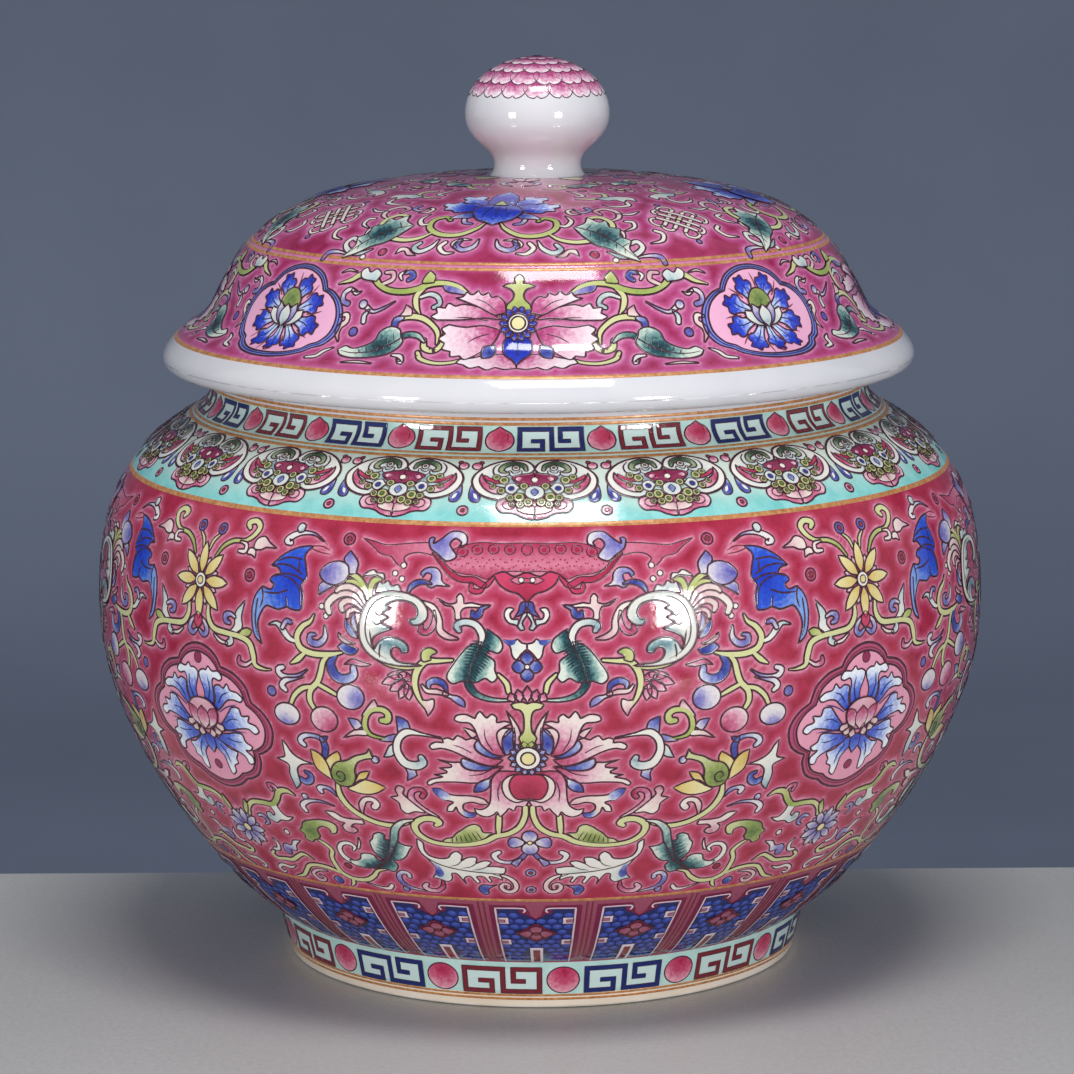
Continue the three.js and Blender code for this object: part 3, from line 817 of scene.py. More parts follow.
def great_acanthus(d):
    """The big white leaf, its fans and the violet fruit."""
    d.fill("27,4.7! 33,4.4 38,5.2 41.6,7 43.8,9.6 44.6,13 44.2,16.8 43.2,19.4 41.6,21.5 39,23 35.8,23.6"
           " 32,23.3 28.4,22 26.3,19.7 26.1,17.3 27.6,15.6 29.8,15.2 31,16.6! 29.4,16.8 28.6,18 28.9,19.7"
           " 30.4,20.9 33,21.4 35.6,21 37.4,19.9! 36,19.2! 38.2,17.8 36.4,16.8! 38.6,15.4 35.2,14! 38,13"
           " 40.4,11.6 41,9.6! 40.2,8.2! 39.6,9.6 38.4,10.9 36.4,11.7 33.6,11.4 31.3,9.9 31.1,8.2 32.6,7.9!"
           " 33.6,9.1 35,9.2 35.7,8.1 35.2,6.5 33.4,5.4 30,5.1", "frond",
           ("31,16.6 36,19.6 36.2,16.8 35.4,14 37,11 32,8.4", 5), 3, 0.6, grid=1)
    d.line("32.4,22.2 36.4,22.3 39.6,21.2 41.8,18.6 42.8,14.6 42.2,10.6 39.8,7.6 36.6,6", 0.4, level=4,
           ends=(0.1, 0.1))
    for path in ("40.6,18.2 39,17.2 37.6,18.2", "41,15.8 39.6,14.8 37.4,16.2",
                 "41.6,13.4 41.2,11.2 40.9,9.4", "38.6,6.2 38.8,7.8 38.4,9.8"):
        d.line(path, 0.45, level=4, ends=(0.1, 1))
    fans = (("blush", "44,18.6,0.8 46.2,20.2,1.5 48.4,20.4,1.7 50,19.2,1.7 49.6,17.8,1.3"),
            ("blush", "43.8,19.4,0.8 46,21.7,1.6 49,22.3,1.8 52,21.2,2 54,19,2 53.4,17,1.6"),
            ("blush", "43.2,20,0.8 45,22.8,1.6 47.8,24,1.8 50.4,23.6,1.6 51.6,22.6,1"),
            ("blush", "44.4,17.6,0.6 46.4,18.2,1.3 47.9,17.4,1.3 48,16.2,1"),
            ("lime", "43,20.4,0.7 44.4,23.6,1.5 46.6,25.3,1.6 48.8,25.4,1.2"),
            ("lime", "42.4,20.6,0.8 43,23.2,1.5 45,25.9,1.7 47.6,27.4,1.5 49.4,27.4,1"),
            ("lime", "41.6,20.8,0.8 42,23.6,1.5 41.2,26,1.8 39.6,26.6,1.5"))
    for k, (shade, stroke) in enumerate(fans):
        d.brush(stroke, shade, (43, 20, 11), k % 3)
    d.fill("38,26.4! 38.6,28.1 40.2,28.1 41.4,28.9 43,28.3 44.4,27! 42.6,27.3 40.4,27.5", "white", None, 2)
    d.fill("33.2,23.6! 34.4,25.4 36,24.9 37.2,26.3 38.6,25.4 39.6,26 40.6,23!", "white", (37, 23, 5), 1)
    for x, y in ((54.4, 16), (55.8, 18.4), (35.4, 28.4), (33.4, 27)):
        d.spot(x, y, 0.8, "white", 0, 0.35)
    d.fill("44.8,12.2! 45.6,15 46.2,17.8! 47,15.6 46.4,13.4", "violet", (46.2, 18, 6), 0)
    d.fill("44.8,10.8! 46,12.6 48.6,15.9! 48.6,13.8 47,11.4", "blue", (48.6, 16, 6), 1)
    d.fill("41,4.2! 44,4.9 46.4,5.4 49,3.7! 46.4,4 43.6,3.6", "pink", (49, 4, 8), 0)
    d.fill("44.6,8! 46.8,8.6 49.2,9.4 50.7,8.2! 48.2,6.6 46,6.6", "blue", (46.4, 7.6, 5), 1)
    d.fill("45.4,9.4! 47.6,10 50.6,12! 50.4,10.6 48,9.2", "blush", (50, 11.4, 5), 1)
    d.fill("48.4,27.2! 49,29.6 51.6,30.6 55,29.6 57.1,27 55.6,25 52.4,24.2 49.6,25.4", "violet",
           (55.6, 27.4, 8), 3)
    d.fill("51.8,24.2! 54.2,23 56.8,21.3! 56.8,23.8 55.4,25", "violet", (56.4, 22, 5), 2)
    d.fill("46.5,27.6! 46.2,30.6 48.9,33.7! 50.4,31.4 49,29 48.2,27.4", "violet", (49, 33.4, 7), 2)
    for x, y in ((50, 37), (80, 24.4)):
        d.spot(x, y, 1.7, "pink", 0, shade=0.12)
        d.spot(x, y, 0.8, "maroon", 1, 0.3)
    d.brush("51.2,6,1 52.7,3.5,2.4 51.5,0.8,2.7 48.8,-0.2,2.5 46.2,1,2.3 46.2,3,1.8", "blue",
            (52, 2.5, 7), 0)


def fruit_branch(d):
    """Berries on a forked green stem, the bat and the stems round it."""
    d.brush("49.5,6.8,0.8 53,6,1.6 58,5.8,1.8 61.8,7,1.9 63,9.8,1.9 61.4,12.6,1.7 59,14.2,1.2 58,16,0.5",
            "lime", None, 1)
    d.brush("60.5,5.8,1.2 62.8,3.8,1.7 64.9,2.6,0.5", "lime", None, 1)
    d.brush("53.4,5.8,1.2 55,4,1.6 55.8,1,1.8 56.8,-1.6,1.8 59,-4,1.8 59.4,-6.8,1.7 58,-9.4,1.3", "lime",
            None, 0)
    d.brush("56.6,-2.2,1.3 54,-3.3,1.4 51.4,-4.5,1.1", "lime", None, 0)
    d.brush("58.6,-3,1.2 61.6,-3.8,1.5 64.2,-6,1.5 65.6,-8.6,1.2", "lime", None, 0)
    d.spot(47.2, -4.8, 3.9, "violet", 1, root=(44.4, -5.6, 5.6), squash=0.86)
    d.spot(55.5, -11.7, 4, "pink", 1, root=(52.6, -14.6, 9), squash=0.88)
    d.spot(67, -11.3, 4, "violet", 1, root=(67.6, -15, 5), squash=0.76)
    d.spot(71.4, -5.5, 1.4, "violet", 0, shade=0.1)
    d.brush("59.8,1.4,0.4 62.5,-0.3,0.9 66,-1,1.1 68.2,-0.8,1.7 69,0.6,1.8 67.4,1.3,1.4", "violet",
            (60, 1, 9), 0)
    d.brush("61,-0.6,0.3 64,-1.5,0.8 66.8,-2.2,1.6 67.9,-3.6,1.8 66.7,-4.7,1.3", "violet", (61, 0, 7), 1)
    d.brush("63,8.4,1 65.5,9.2,1.6 67.7,11.4,1.8 69.5,12.7,1.2 72,12.2,0.4", "white", (72, 12, 7), 0)
    d.brush("67.6,11.8,1.3 66.4,13.6,1.4 65,13.4,1.2", "violet", (65, 13.5, 4), 1)
    d.brush("54.6,13.2,0.6 54.5,10.4,1.6 56.4,8.6,1.9 58.8,8.9,1.9 59,10.5,1.4 57.4,10.9,0.8", "violet",
            (58, 9, 5), 0)
    # the bat
    d.fill("60.5,34.2! 65,33.4 69.5,31 72.9,27.7! 70.6,27.4 69.4,25.8 71.4,25.3 72.7,23.8 71.2,22.8"
           " 72.2,21.4 75,21.9! 77,19.5 77.9,16 77.6,11.5 76.6,8.6 74.3,6.7! 75.3,9.5 75.8,12.5 74.6,15.5"
           " 73.2,17 71,16.7 69,16.4 66.5,17.3 64.8,16.8 62.2,17 61.7,20.5 62.5,23.5 61.2,25.5 61.8,28.5"
           " 62.6,31.5", "bat", (65, 25, 13), 1, 0.55)
    for path in ("62.5,26.2 66,28 69.5,28.4 72.4,27.9", "61.6,24.6 65,25.8 68.5,25.9 71.4,24.8",
                 "62.2,18.2 63,22.5 66,24.8 69,25.4", "66.5,21.8 70,20.6 74.8,20.5",
                 "63.2,30.2 67.5,30.4 71.4,29", "75,21.7 74.4,19 75.2,16.2", "63.6,26.8 64,30",
                 "66.4,17.4 67,20.4", "76.2,18.6 76.6,13 75.6,8.6"):
        d.line(path, 0.5, level=2, ends=(1, 0.2))
    for path in ("55,33.2 57.6,34.3 60.6,34.2", "54.8,32.3 58,32.6 60.8,33.4",
                 "56.4,34.8 58.2,36.4 60.4,36.8"):
        d.line(path, 0.35, "maroon", 0, (0.2, 1))
    d.brush("57.8,35.8,0.3 61,37.5,0.7 65,37.6,1.3 67.8,36.6,1.9 69.5,34.9,2 68,34.4,1.5", "violet",
            (58, 36, 8), 0)
    d.fill("64.8,38! 64.7,39.8 66.2,40.4 67.2,38.9 66.2,37.6", "white", (65, 38, 4), 1)


def shoulder_scrolls(d):
    """Curls between the bat and the daisy."""
    d.fill("72,32.4! 75.2,33.9 77.2,35.3 79.4,34.6 80.2,33.2 80,31.6 77.6,31.5 76,32.3", "blush",
           (72, 32, 9), 1)
    d.brush("83.6,37.2,1.4 84.6,38.6,2 82,39.4,1.8 80.2,37.8,1.9 81.4,35.2,1.6 84.2,33.4,1.2 88,33,1.3"
            " 91.4,31.2,1.3 93.8,28,0.8", "lime", (93, 30, 14), 0)
    d.brush("85.4,30.4,1 83.2,30.6,1.4 83.2,32.4,1.2 85.6,33,0.6", "pink", None, 0)
    d.fill("79,29! 79.6,31.4 81.6,31.6 82.2,30 80.6,29.8", "blush", (79, 29, 3), 0)
    d.brush("96.9,29.5,0.7 96,32.2,1.1 93.9,34.2,0.6", "lime", None, 0)
    d.spot(93.8, 35.8, 1.7, "violet", 0, shade=0.05)
    d.spot(93.8, 35.8, 0.8, "maroon", 1, 0.3)
    d.brush("94.2,15,1.1 94,11.5,1.8 91.8,8.9,1.8 87,8.2,1.7 82,7.8,1.7 78.6,6.5,1.9 77.3,3.5,2"
            " 76.6,0.9,1.5 73.6,0.1,0.8 71.4,0.2,0.3", "lime", None, 1)
    d.fill("77.8,9.8! 79.5,10.4 81.5,9.7 83,8.6 80.5,8 78.6,8.4", "lime", (77.8, 9.8, 6), 0)
    d.brush("77.8,1.7,0.9 80,0.5,1.2 82.3,1,1.6 82.2,2.3,1", "pink", (82.5, 2, 4), 0)
    d.fill("80.5,17.8! 82,16.2 83.5,14.6 84.1,12.6 84,10.8 85.6,8.9! 82.4,8.8 81.2,10.6 81.6,13 81.1,15.3",
           "white", (81, 17, 8), 0)
    d.brush("84,12.8,1 85.6,13.4,1.3 87.3,12.8,1.9 87.2,11.4,1.6 85.8,11,1.1", "violet", (87, 12, 4), 1)
    d.brush("85.4,7.6,1 85.2,6.2,2 86.6,5.4,1.6", "white", (86, 7, 3), 0)
    d.brush("86.8,5.4,0.8 89.4,5.8,1.1 91.6,7.2,0.6", "pink", None, 0)


def middle_scrolls(d):
    """Curls between the lotus and the medallion."""
    d.brush("23,-14.6,0.4 28,-13.8,0.8 32,-13.4,2 34.5,-15.5,2 35.2,-19,2.2 33.5,-22.5,2.6 30.5,-23.3,2.6"
            " 28.3,-22.2,2.4 28.7,-20.6,1.7", "white", (29, -21.5, 5), 1)
    d.fill("31,-12.7! 31.8,-10.3 34.7,-9! 34.6,-11.4 34.3,-14 32.4,-13.6", "blue", (34, -9, 5), 0)
    d.fill("34.6,-14! 37.6,-14.9 40,-16.4! 36.8,-16.5 35,-15.8", "violet", (36, -15.5, 4), 0)
    d.fill("35.6,-16.8! 37.3,-17.8 38.2,-19.3 39.3,-21.4! 36.9,-20.8 35.4,-19.2", "white", (39, -21, 5), 0)
    d.fill("30.6,-23.6! 30.6,-25.4 30.4,-26.3 33.5,-28.3! 33,-25.6 34.3,-22.8 32.6,-23", "violet",
           (33, -28, 5), 0)
    d.brush("38.8,-10.6,1.6 37.2,-10.4,2.1 36.9,-8.7,1.9 38.5,-7.6,1.7 41.5,-8,1.5 43.2,-10,1.6"
            " 43.6,-13,1.7 42,-15,1.2 37.4,-15.8,0.5", "lime", (40, -15, 12), 1)
    d.fill("39.6,-7.5! 39.9,-6 40.6,-4.8! 42.6,-7.2 44.3,-9.8 42.4,-9.2", "blush", (40.5, -5, 5), 0)
    d.fill("44.4,-12.6! 45.5,-11 48.4,-10.6! 47.5,-12.6 46.3,-13.9", "violet", (48, -11, 4), 0)
    d.fill("43.6,-13.5! 47,-14 50.5,-16.5! 46.5,-15.4 43.2,-15.1", "blush", (50, -16, 6), 0)
    # lotus bud on its stem
    d.brush("54.8,-31,1.2 54.9,-35,2 53,-39,2 49.5,-42,1.9 45,-44,1.8 40,-44.5,1.8 35.6,-43.2,1", "lime",
            None, 1)
    d.fill("40,-31! 43,-29.6 47,-29 50,-31.3 51.8,-32.4 49,-33.6 45.5,-33.8 42.5,-32.8", "yellow",
           (40, -31, 9), 1)
    d.fill("44,-26! 47,-26.8 48.6,-29 50.2,-31.4 47.2,-29.6 45.3,-28.3", "yellow", (44, -26, 12), 1)
    d.fill("52.4,-23.8! 52.2,-22 52.8,-20.7! 55,-22 56.8,-23.6 57.3,-25.2 56,-26.6 54,-24.6", "yellow",
           (53, -21, 6), 1)
    d.fill("56.2,-29.8! 56.3,-26.5 57,-24 58.8,-21.8 61.1,-20.9! 61.1,-24 60.3,-26.8 58,-28.8", "yellow",
           (61, -23, 10), 2)
    d.fill("43.2,-18.7! 43.9,-20.2 47.5,-21.5 50.5,-23.2 53.5,-24 55.4,-26 55.9,-28.5 54.8,-30.9 52.5,-31.7"
           " 50,-31 48.6,-28.5 48.4,-26 47.2,-23.6 45,-22.4 42.4,-21.8!", "leaf", (53, -28.6, 8), 3)
    d.line("55,-29.6 53.4,-30.2 51.9,-29.2 51.9,-27.4 53.4,-26.8 54.3,-28 53.4,-28.9", 0.45, level=4)
    d.spot(41.8, -22.2, 1.1, "violet", 2, root=(41, -22, 2))
    d.brush("57,-22.4,1.7 56.4,-19.6,2 57.4,-17.5,1.5 60,-16.8,1.2 62.8,-17.3,1.6 64.1,-18.8,1.8"
            " 63,-19.9,1.6", "blue", (56.6, -21, 7), 0)
    d.fill("55,-16.5! 57.6,-17 57.4,-18.4 56,-18", "blue", (55, -16.5, 5), 0)
    d.fill("61,-25.7! 65,-24.6 67.6,-23 69,-20.6 70.1,-19.2! 70.2,-22.4 70.4,-24.3 73.4,-25.2! 70.6,-26.2"
           " 69.6,-27 70.1,-29.5 69.9,-32 69.3,-34.9! 67.4,-32.8 67.3,-30.5 67.1,-28 65.5,-26.4 63,-25.8",
           "white", (69, -34, 9), 1)
    d.brush("67,-31.2,1.8 65.3,-32,2.1 63.6,-31.2,2.1 63.2,-29.4,1.7 64.6,-28.6,1.1", "blue",
            (65, -29.5, 5), 0)
    d.brush("56.2,-35.6,0.4 57.5,-33.7,1.4 59.5,-33,1.2 61.3,-33.6,2 60.9,-34.7,1.6", "violet",
            (57, -35, 5), 0)
    d.brush("44.8,-38.2,2.2 43.9,-37,2.1 45,-35.6,1.7 47.4,-36,1.7 48.8,-38.2,1.8 49.2,-41.4,0.4", "blush",
            (49, -41, 7), 0)
    d.brush("58,-39.4,0.3 61.5,-38.4,0.8 65,-38.5,1.1 67.6,-39.3,1.7 69.3,-41,1.9 68.6,-42.7,1.5", "violet",
            (59, -39, 9), 0)
    d.spot(67.3, -37.3, 1.1, "violet", 0, root=(66.6, -38.4, 2.4))
    d.brush("29.8,-33.3,1.6 29,-32,1.6 30.3,-30.9,1.5 32.6,-31.8,1.7 33,-34.5,2 30.5,-37.3,1.6"
            " 26,-40.2,0.5", "pink", (29, -32, 9), 0)
    d.fill("31.8,-36.6! 34,-34.3 35.3,-32.6 34.7,-30.9 36.3,-30 37.4,-31.5 36.9,-33.4 39.2,-34! 37.6,-35.2"
           " 36.9,-36 36.6,-38.3 35,-39.6 32.6,-38.7 29.6,-38.8", "blush", (37, -30.5, 8), 1)


def lower_scrolls(d):
    """Stems and leaves under the lotus."""
    d.brush("1,-36,1.7 1.2,-39,1.8 2.8,-43,1.9 6,-45.6,1.9 10,-46.8,2 13,-48.8,2 18,-50.3,1.8 24,-50.7,1.7"
            " 29.5,-49.7,1.8 33,-46.9,2.1 33.5,-43.6,2.3 30.9,-41.3,2.1 27.6,-41,2.3 25.9,-42.3,2.2"
            " 27,-43.3,1.5", "lime", None, 1)
    d.brush("8.5,-39.3,1.7 8.8,-43,1.8 9,-46.3,1.2", "lime", None, 0)
    d.fill("10.8,-45.4! 13.4,-45.4 14.2,-43.2 15.8,-42.4 17.8,-43.2 19.8,-44.8 21.5,-46.2 22.8,-47.8"
           " 24.8,-48.4 26.2,-49.8! 22,-50 17,-49.6 13.2,-47.8", "leaf", (18, -49.6, 6.4), 0)
    for k in range(7):
        d.line(f"{14 + 1.5 * k},{-48.2 - 0.22 * k} {15.6 + 1.2 * k},{-45 - 0.42 * k}", 0.28, level=1,
               ends=(1, 0.1))
    d.fill("10,-62.5! 20,-61.8 25,-60.6 29,-58.7 32.9,-55.4! 31,-58.8 29.8,-61 30.4,-64 31.7,-65.8!"
           " 29.4,-66.4 27,-67.4 25.3,-66 25,-63.4 23.4,-63.4 20.9,-68.2! 21.3,-65.5 19.4,-64.3 17.2,-67.6"
           " 16.3,-67 17.2,-64.5 15,-64.3 13.2,-67 12.5,-66.5 13.2,-64.3 11,-64.6 9.1,-65.9! 9.3,-64",
           "white", (29.6, -64, 5), 0)
    d.fill("7.8,-60! 11,-59.4 13.6,-59.6! 12,-57.6 14,-57 16.9,-58.4! 16.4,-55.8 19,-55.8 21.4,-57.6!"
           " 20.8,-55 22.2,-53.4 24,-54.5 25.2,-56.3 28,-56.8 31,-55.8 32.2,-53.5 32.2,-50.5 33.8,-49!"
           " 34,-52.5 33,-55.5 30.5,-58 27,-60 22,-61.4 15,-62.4 8.5,-62.6 7.8,-61.2", "white",
           (15, -64, 5), 1)
    for path in ("13.6,-59.6 15.4,-60.6 18,-61.2", "16.9,-58.4 18.6,-59.8 21.6,-60.6",
                 "21.4,-57.6 22.6,-59 25,-59.9"):
        d.line(path, 0.32, level=2, ends=(1, 0.1))
    d.fill("28.6,-60! 30.4,-58.8 29.8,-61 30.4,-64 29,-65.4 27.6,-63.6", "blue", (29.6, -63, 4.4), 1, 0)
    d.brush("7.4,-69.7,1.4 7.2,-68.2,1.5 8.8,-67.7,1.5 9.6,-69.2,1.7 8.6,-71.1,1.8 6.4,-71.5,1.8"
            " 4.9,-69.7,1.8 5.2,-66.8,1.8 7.5,-64.3,1.4 11.5,-62.9,0.5", "blush", (7.4, -69, 5), 0)
    d.fill("10.4,-67.8! 13,-68.6 15.5,-68.3 17.1,-70 16.6,-72 15,-73.3 13.9,-72.6 14,-70.8 12.8,-69.4",
           "blue", (15.4, -70.6, 4), 0)
    d.brush("28.6,-67.4,0.9 29,-70.2,1.7 31,-72.2,1.9 33.8,-72.4,2.1 35.3,-70.8,2.1 34.3,-69.3,1.6", "pink",
            (29, -69, 9), 0)
    d.brush("39.7,-66.4,1.7 39.8,-65,1.6 41.5,-64.4,1.7 43.2,-66,1.8 43.2,-69,1.9 41.4,-71.4,1.8 38,-72.6,1"
            " 35.4,-73,0.5", "violet", (43, -70, 8), 0)
    d.fill("41,-71.8! 42.8,-71.2 43.4,-73 42.2,-74.2 41.2,-73.2", "violet", (42, -73, 3), 0)
    # large dark leaf
    d.brush("54.5,-62.8,1.8 58.2,-62.3,2 61,-59.9,2 61.5,-56.7,1.8 59.9,-54.4,1.6 57.2,-53.8,1.5"
            " 55.6,-55.1,1.4 56.4,-56.5,1", "white", (54, -63, 7), 0)
    d.brush("53.1,-51,0.4 53.5,-53.4,0.9 54.4,-55.4,0.9", "blush", None, 0)
    d.fill("41,-45.5! 41.2,-49 42.3,-52 44,-56.5 46,-60 48.5,-62.4 51.5,-64 48,-63.3 44.5,-64.4 42.4,-61.5"
           " 43.2,-59.2 40.8,-58.7 38.5,-56.6 36.8,-53.6 35.7,-52.4! 38,-52.2 39.8,-51.2 40.4,-48.4",
           "teal", ("41.6,-48 44.4,-56.6 47.5,-61.4 52,-63.6", 6), 1)
    d.fill("42.2,-50.8! 44.3,-50.2 43.8,-48.6 45.2,-47.8 47.3,-48.6 48.3,-50.6 49.5,-52 49.3,-55.5"
           " 48.3,-57.6 46.9,-59.4! 48.6,-59.8 49.6,-57.9 51.5,-57.2 54.1,-57.8 54.9,-59.8 56.6,-61"
           " 59.4,-61.2! 58.6,-63 55,-64 51,-63.6 47.2,-61 44.4,-57", "teal",
           ("41.6,-48 44.4,-56.6 47.5,-61.4 52,-63.6", 5.6), 1)
    d.brush("33.8,-41.8,0.7 37,-42.8,1.6 39.8,-45.6,2.3 41,-49.5,2.4 42.6,-53.5,1.6 45,-58.4,1"
            " 49,-62.2,0.5", "teal", (46, -60, 22), 2)
    for k in range(6):
        d.line(f"{43.4 + 0.42 * k},{-53 - 1.25 * k} {40.6 + 0.62 * k},{-54.2 - 1.2 * k}", 0.28, level=2,
               ends=(1, 0.1))
        d.line(f"{43.4 + 0.62 * k},{-52.6 - 1.4 * k} {46.4 + 0.6 * k},{-51.4 - 1.2 * k}", 0.28, level=2,
               ends=(1, 0.1))
    d.fill("49.8,-43.4! 56,-43.2 58.6,-41.6 61.7,-41.5! 59.6,-43.6 57.6,-44.9 55.9,-45.2 57.1,-46.4"
           " 56.4,-48.4 54,-49 52.3,-47.8 53.2,-46.6! 54.2,-46.6 52.8,-45.2 49.5,-44.8", "blush",
           (54, -48.4, 7), 2)
    d.fill("59.4,-47.2 61,-45.8 64.5,-45.4 68,-46 71.5,-47.4 72.8,-49.7 74.3,-51! 72.8,-52.6 73.2,-54.1"
           " 71,-55.4 69.7,-54.2 68,-53.6 66.9,-52.2! 67,-49.6 64.8,-48 62.4,-48.7 62.3,-50.6! 60.3,-49.9",
           "leaf", (69.6, -50.6, 9), 1)
    d.brush("69,-53.8,0.7 66.5,-55.5,1.5 64.8,-58,1.7 66,-61,1.7 66,-64.5,1.9 64.8,-68.4,2 61,-70.6,2"
            " 56,-70.2,2 52.5,-67.7,1.8 50.3,-65,1.3 47,-63.9,0.6", "lime", None, 0)
    d.brush("61.4,-70.2,1.4 62,-72.8,1.5 63.4,-74.6,0.6", "lime", None, 1)
    d.brush("65.6,-68.2,1.3 69,-66.8,1.8 73.5,-66.3,1.7 77.5,-67.2,1.7 80.2,-70,1.7 83,-73,1.6"
            " 87,-74.6,0.8", "lime", None, 1)
    d.spot(61, -64.3, 1.3, "ruby", 0, shade=0)
    d.brush("47.2,-71.6,1.6 48.6,-73.4,1.7 52,-73.4,1 56.4,-71.8,0.5", "pink", None, 0)
    d.spot(67.8, -72.4, 1.8, "blue", 0, root=(67, -73, 4))
    d.brush("71,-68.6,0.6 75,-69,1.3 78,-71.3,1.6 77,-74,1.7 74.6,-74,1.6 73.6,-72.5,1.4 75,-71.7,1.2",
            "blush", (75, -72, 6), 0)


def far_scrolls(d):
    """Stems under the medallion and round the pale daisy."""
    d.brush("71,-37.4,0.6 73.5,-36.2,1.7 76.5,-37,2.1 78.5,-40,2.1 81,-42.3,2 85,-42.4,1.9 89.5,-43,1.8"
            " 92.4,-45.4,1.7 93.6,-48.4,1.2", "lime", (80, -42, 12), 1)
    d.brush("76.8,-36.6,1 78,-35.3,1.5 79.8,-35.2,1.6 79.3,-36.8,1.2", "pink", (79.6, -35, 4), 0)
    d.fill("79.7,-41.8! 79,-44.5 77.3,-46.3 74.5,-46.1! 77.2,-48 80.3,-48.3 82.6,-49.7 85.3,-48.5"
           " 85.3,-46.2 83.6,-45.8 82.8,-47! 81.8,-46 82.4,-42.6", "white", (83.8, -47.4, 5), 0)
    d.fill("92.2,-44.4! 93.2,-42.4! 95,-46.4 94.6,-48.4 93.4,-47", "lime", (93, -43, 6), 2)
    d.spot(80.2, -53, 1.1, "blush", 0, shade=0.8)
    d.fill("75.8,-55.8! 79.3,-56.4 81.2,-58.7 84,-58.6 85.5,-60.3 85.2,-62.9 83.3,-63.4 82.5,-61.8"
           " 82.8,-60.9! 80,-61.1 78.8,-58.4", "violet", (83.8, -62.2, 6), 0)
    d.brush("74.3,-63.9,0.5 77.5,-62,1.5 80.5,-63.5,1.7 84,-65.8,1.8 88,-66.3,1.7 91.4,-66.8,1.7"
            " 93,-65.2,1.7 91.6,-63.6,1.3", "lime", None, 1)
    d.brush("88.5,-57.2,0.5 87.4,-59.4,1.4 88.4,-62,1.6 90.6,-62.4,1.3", "violet", None, 0)
    d.brush("84.6,-69,0.5 87.6,-70.4,1.4 91.6,-70.2,1.6 94.4,-72.2,1.5 93.4,-74,1.3 91.8,-73.4,1", "blush",
            None, 0)
    d.brush("88,-51.4,0.8 86.4,-50,1.5 87.6,-47.8,1.5 89.6,-48.2,1.2", "violet", (87, -49, 4), 0)


lotus(WHOLE)
canopy(WHOLE)
lower_axis(WHOLE)
medallion(WHOLE, HALF_REPEAT)
daisies(WHOLE, HALF_REPEAT)
for scrolls in (upper_scrolls, great_acanthus, fruit_branch, shoulder_scrolls, middle_scrolls,
                lower_scrolls, far_scrolls):
    scrolls(HALF)
lay(HALF, JAR, "jar", 4, mirror=True)
lay(WHOLE, JAR, "jar", 4, zone="axis_")
BODY = HALF.edges + WHOLE.edges


# Shoulder: the row of cloud-scroll lappets --------------------------------------------------------

LAPPETS = 19                    # how many times each border repeats round the jar
PANELS = 21
NECK_FRETS, FOOT_FRETS = 22, 14


def ring_spot(d, x, y, r, level):
    """A pale green dot with a darker middle."""
    d.spot(x, y, r, "lime", level, 0.4, root=(x, y, r * 1.6))
    d.spot(x, y, r * 0.45, "leaf", level + 1, 0.3, 0)


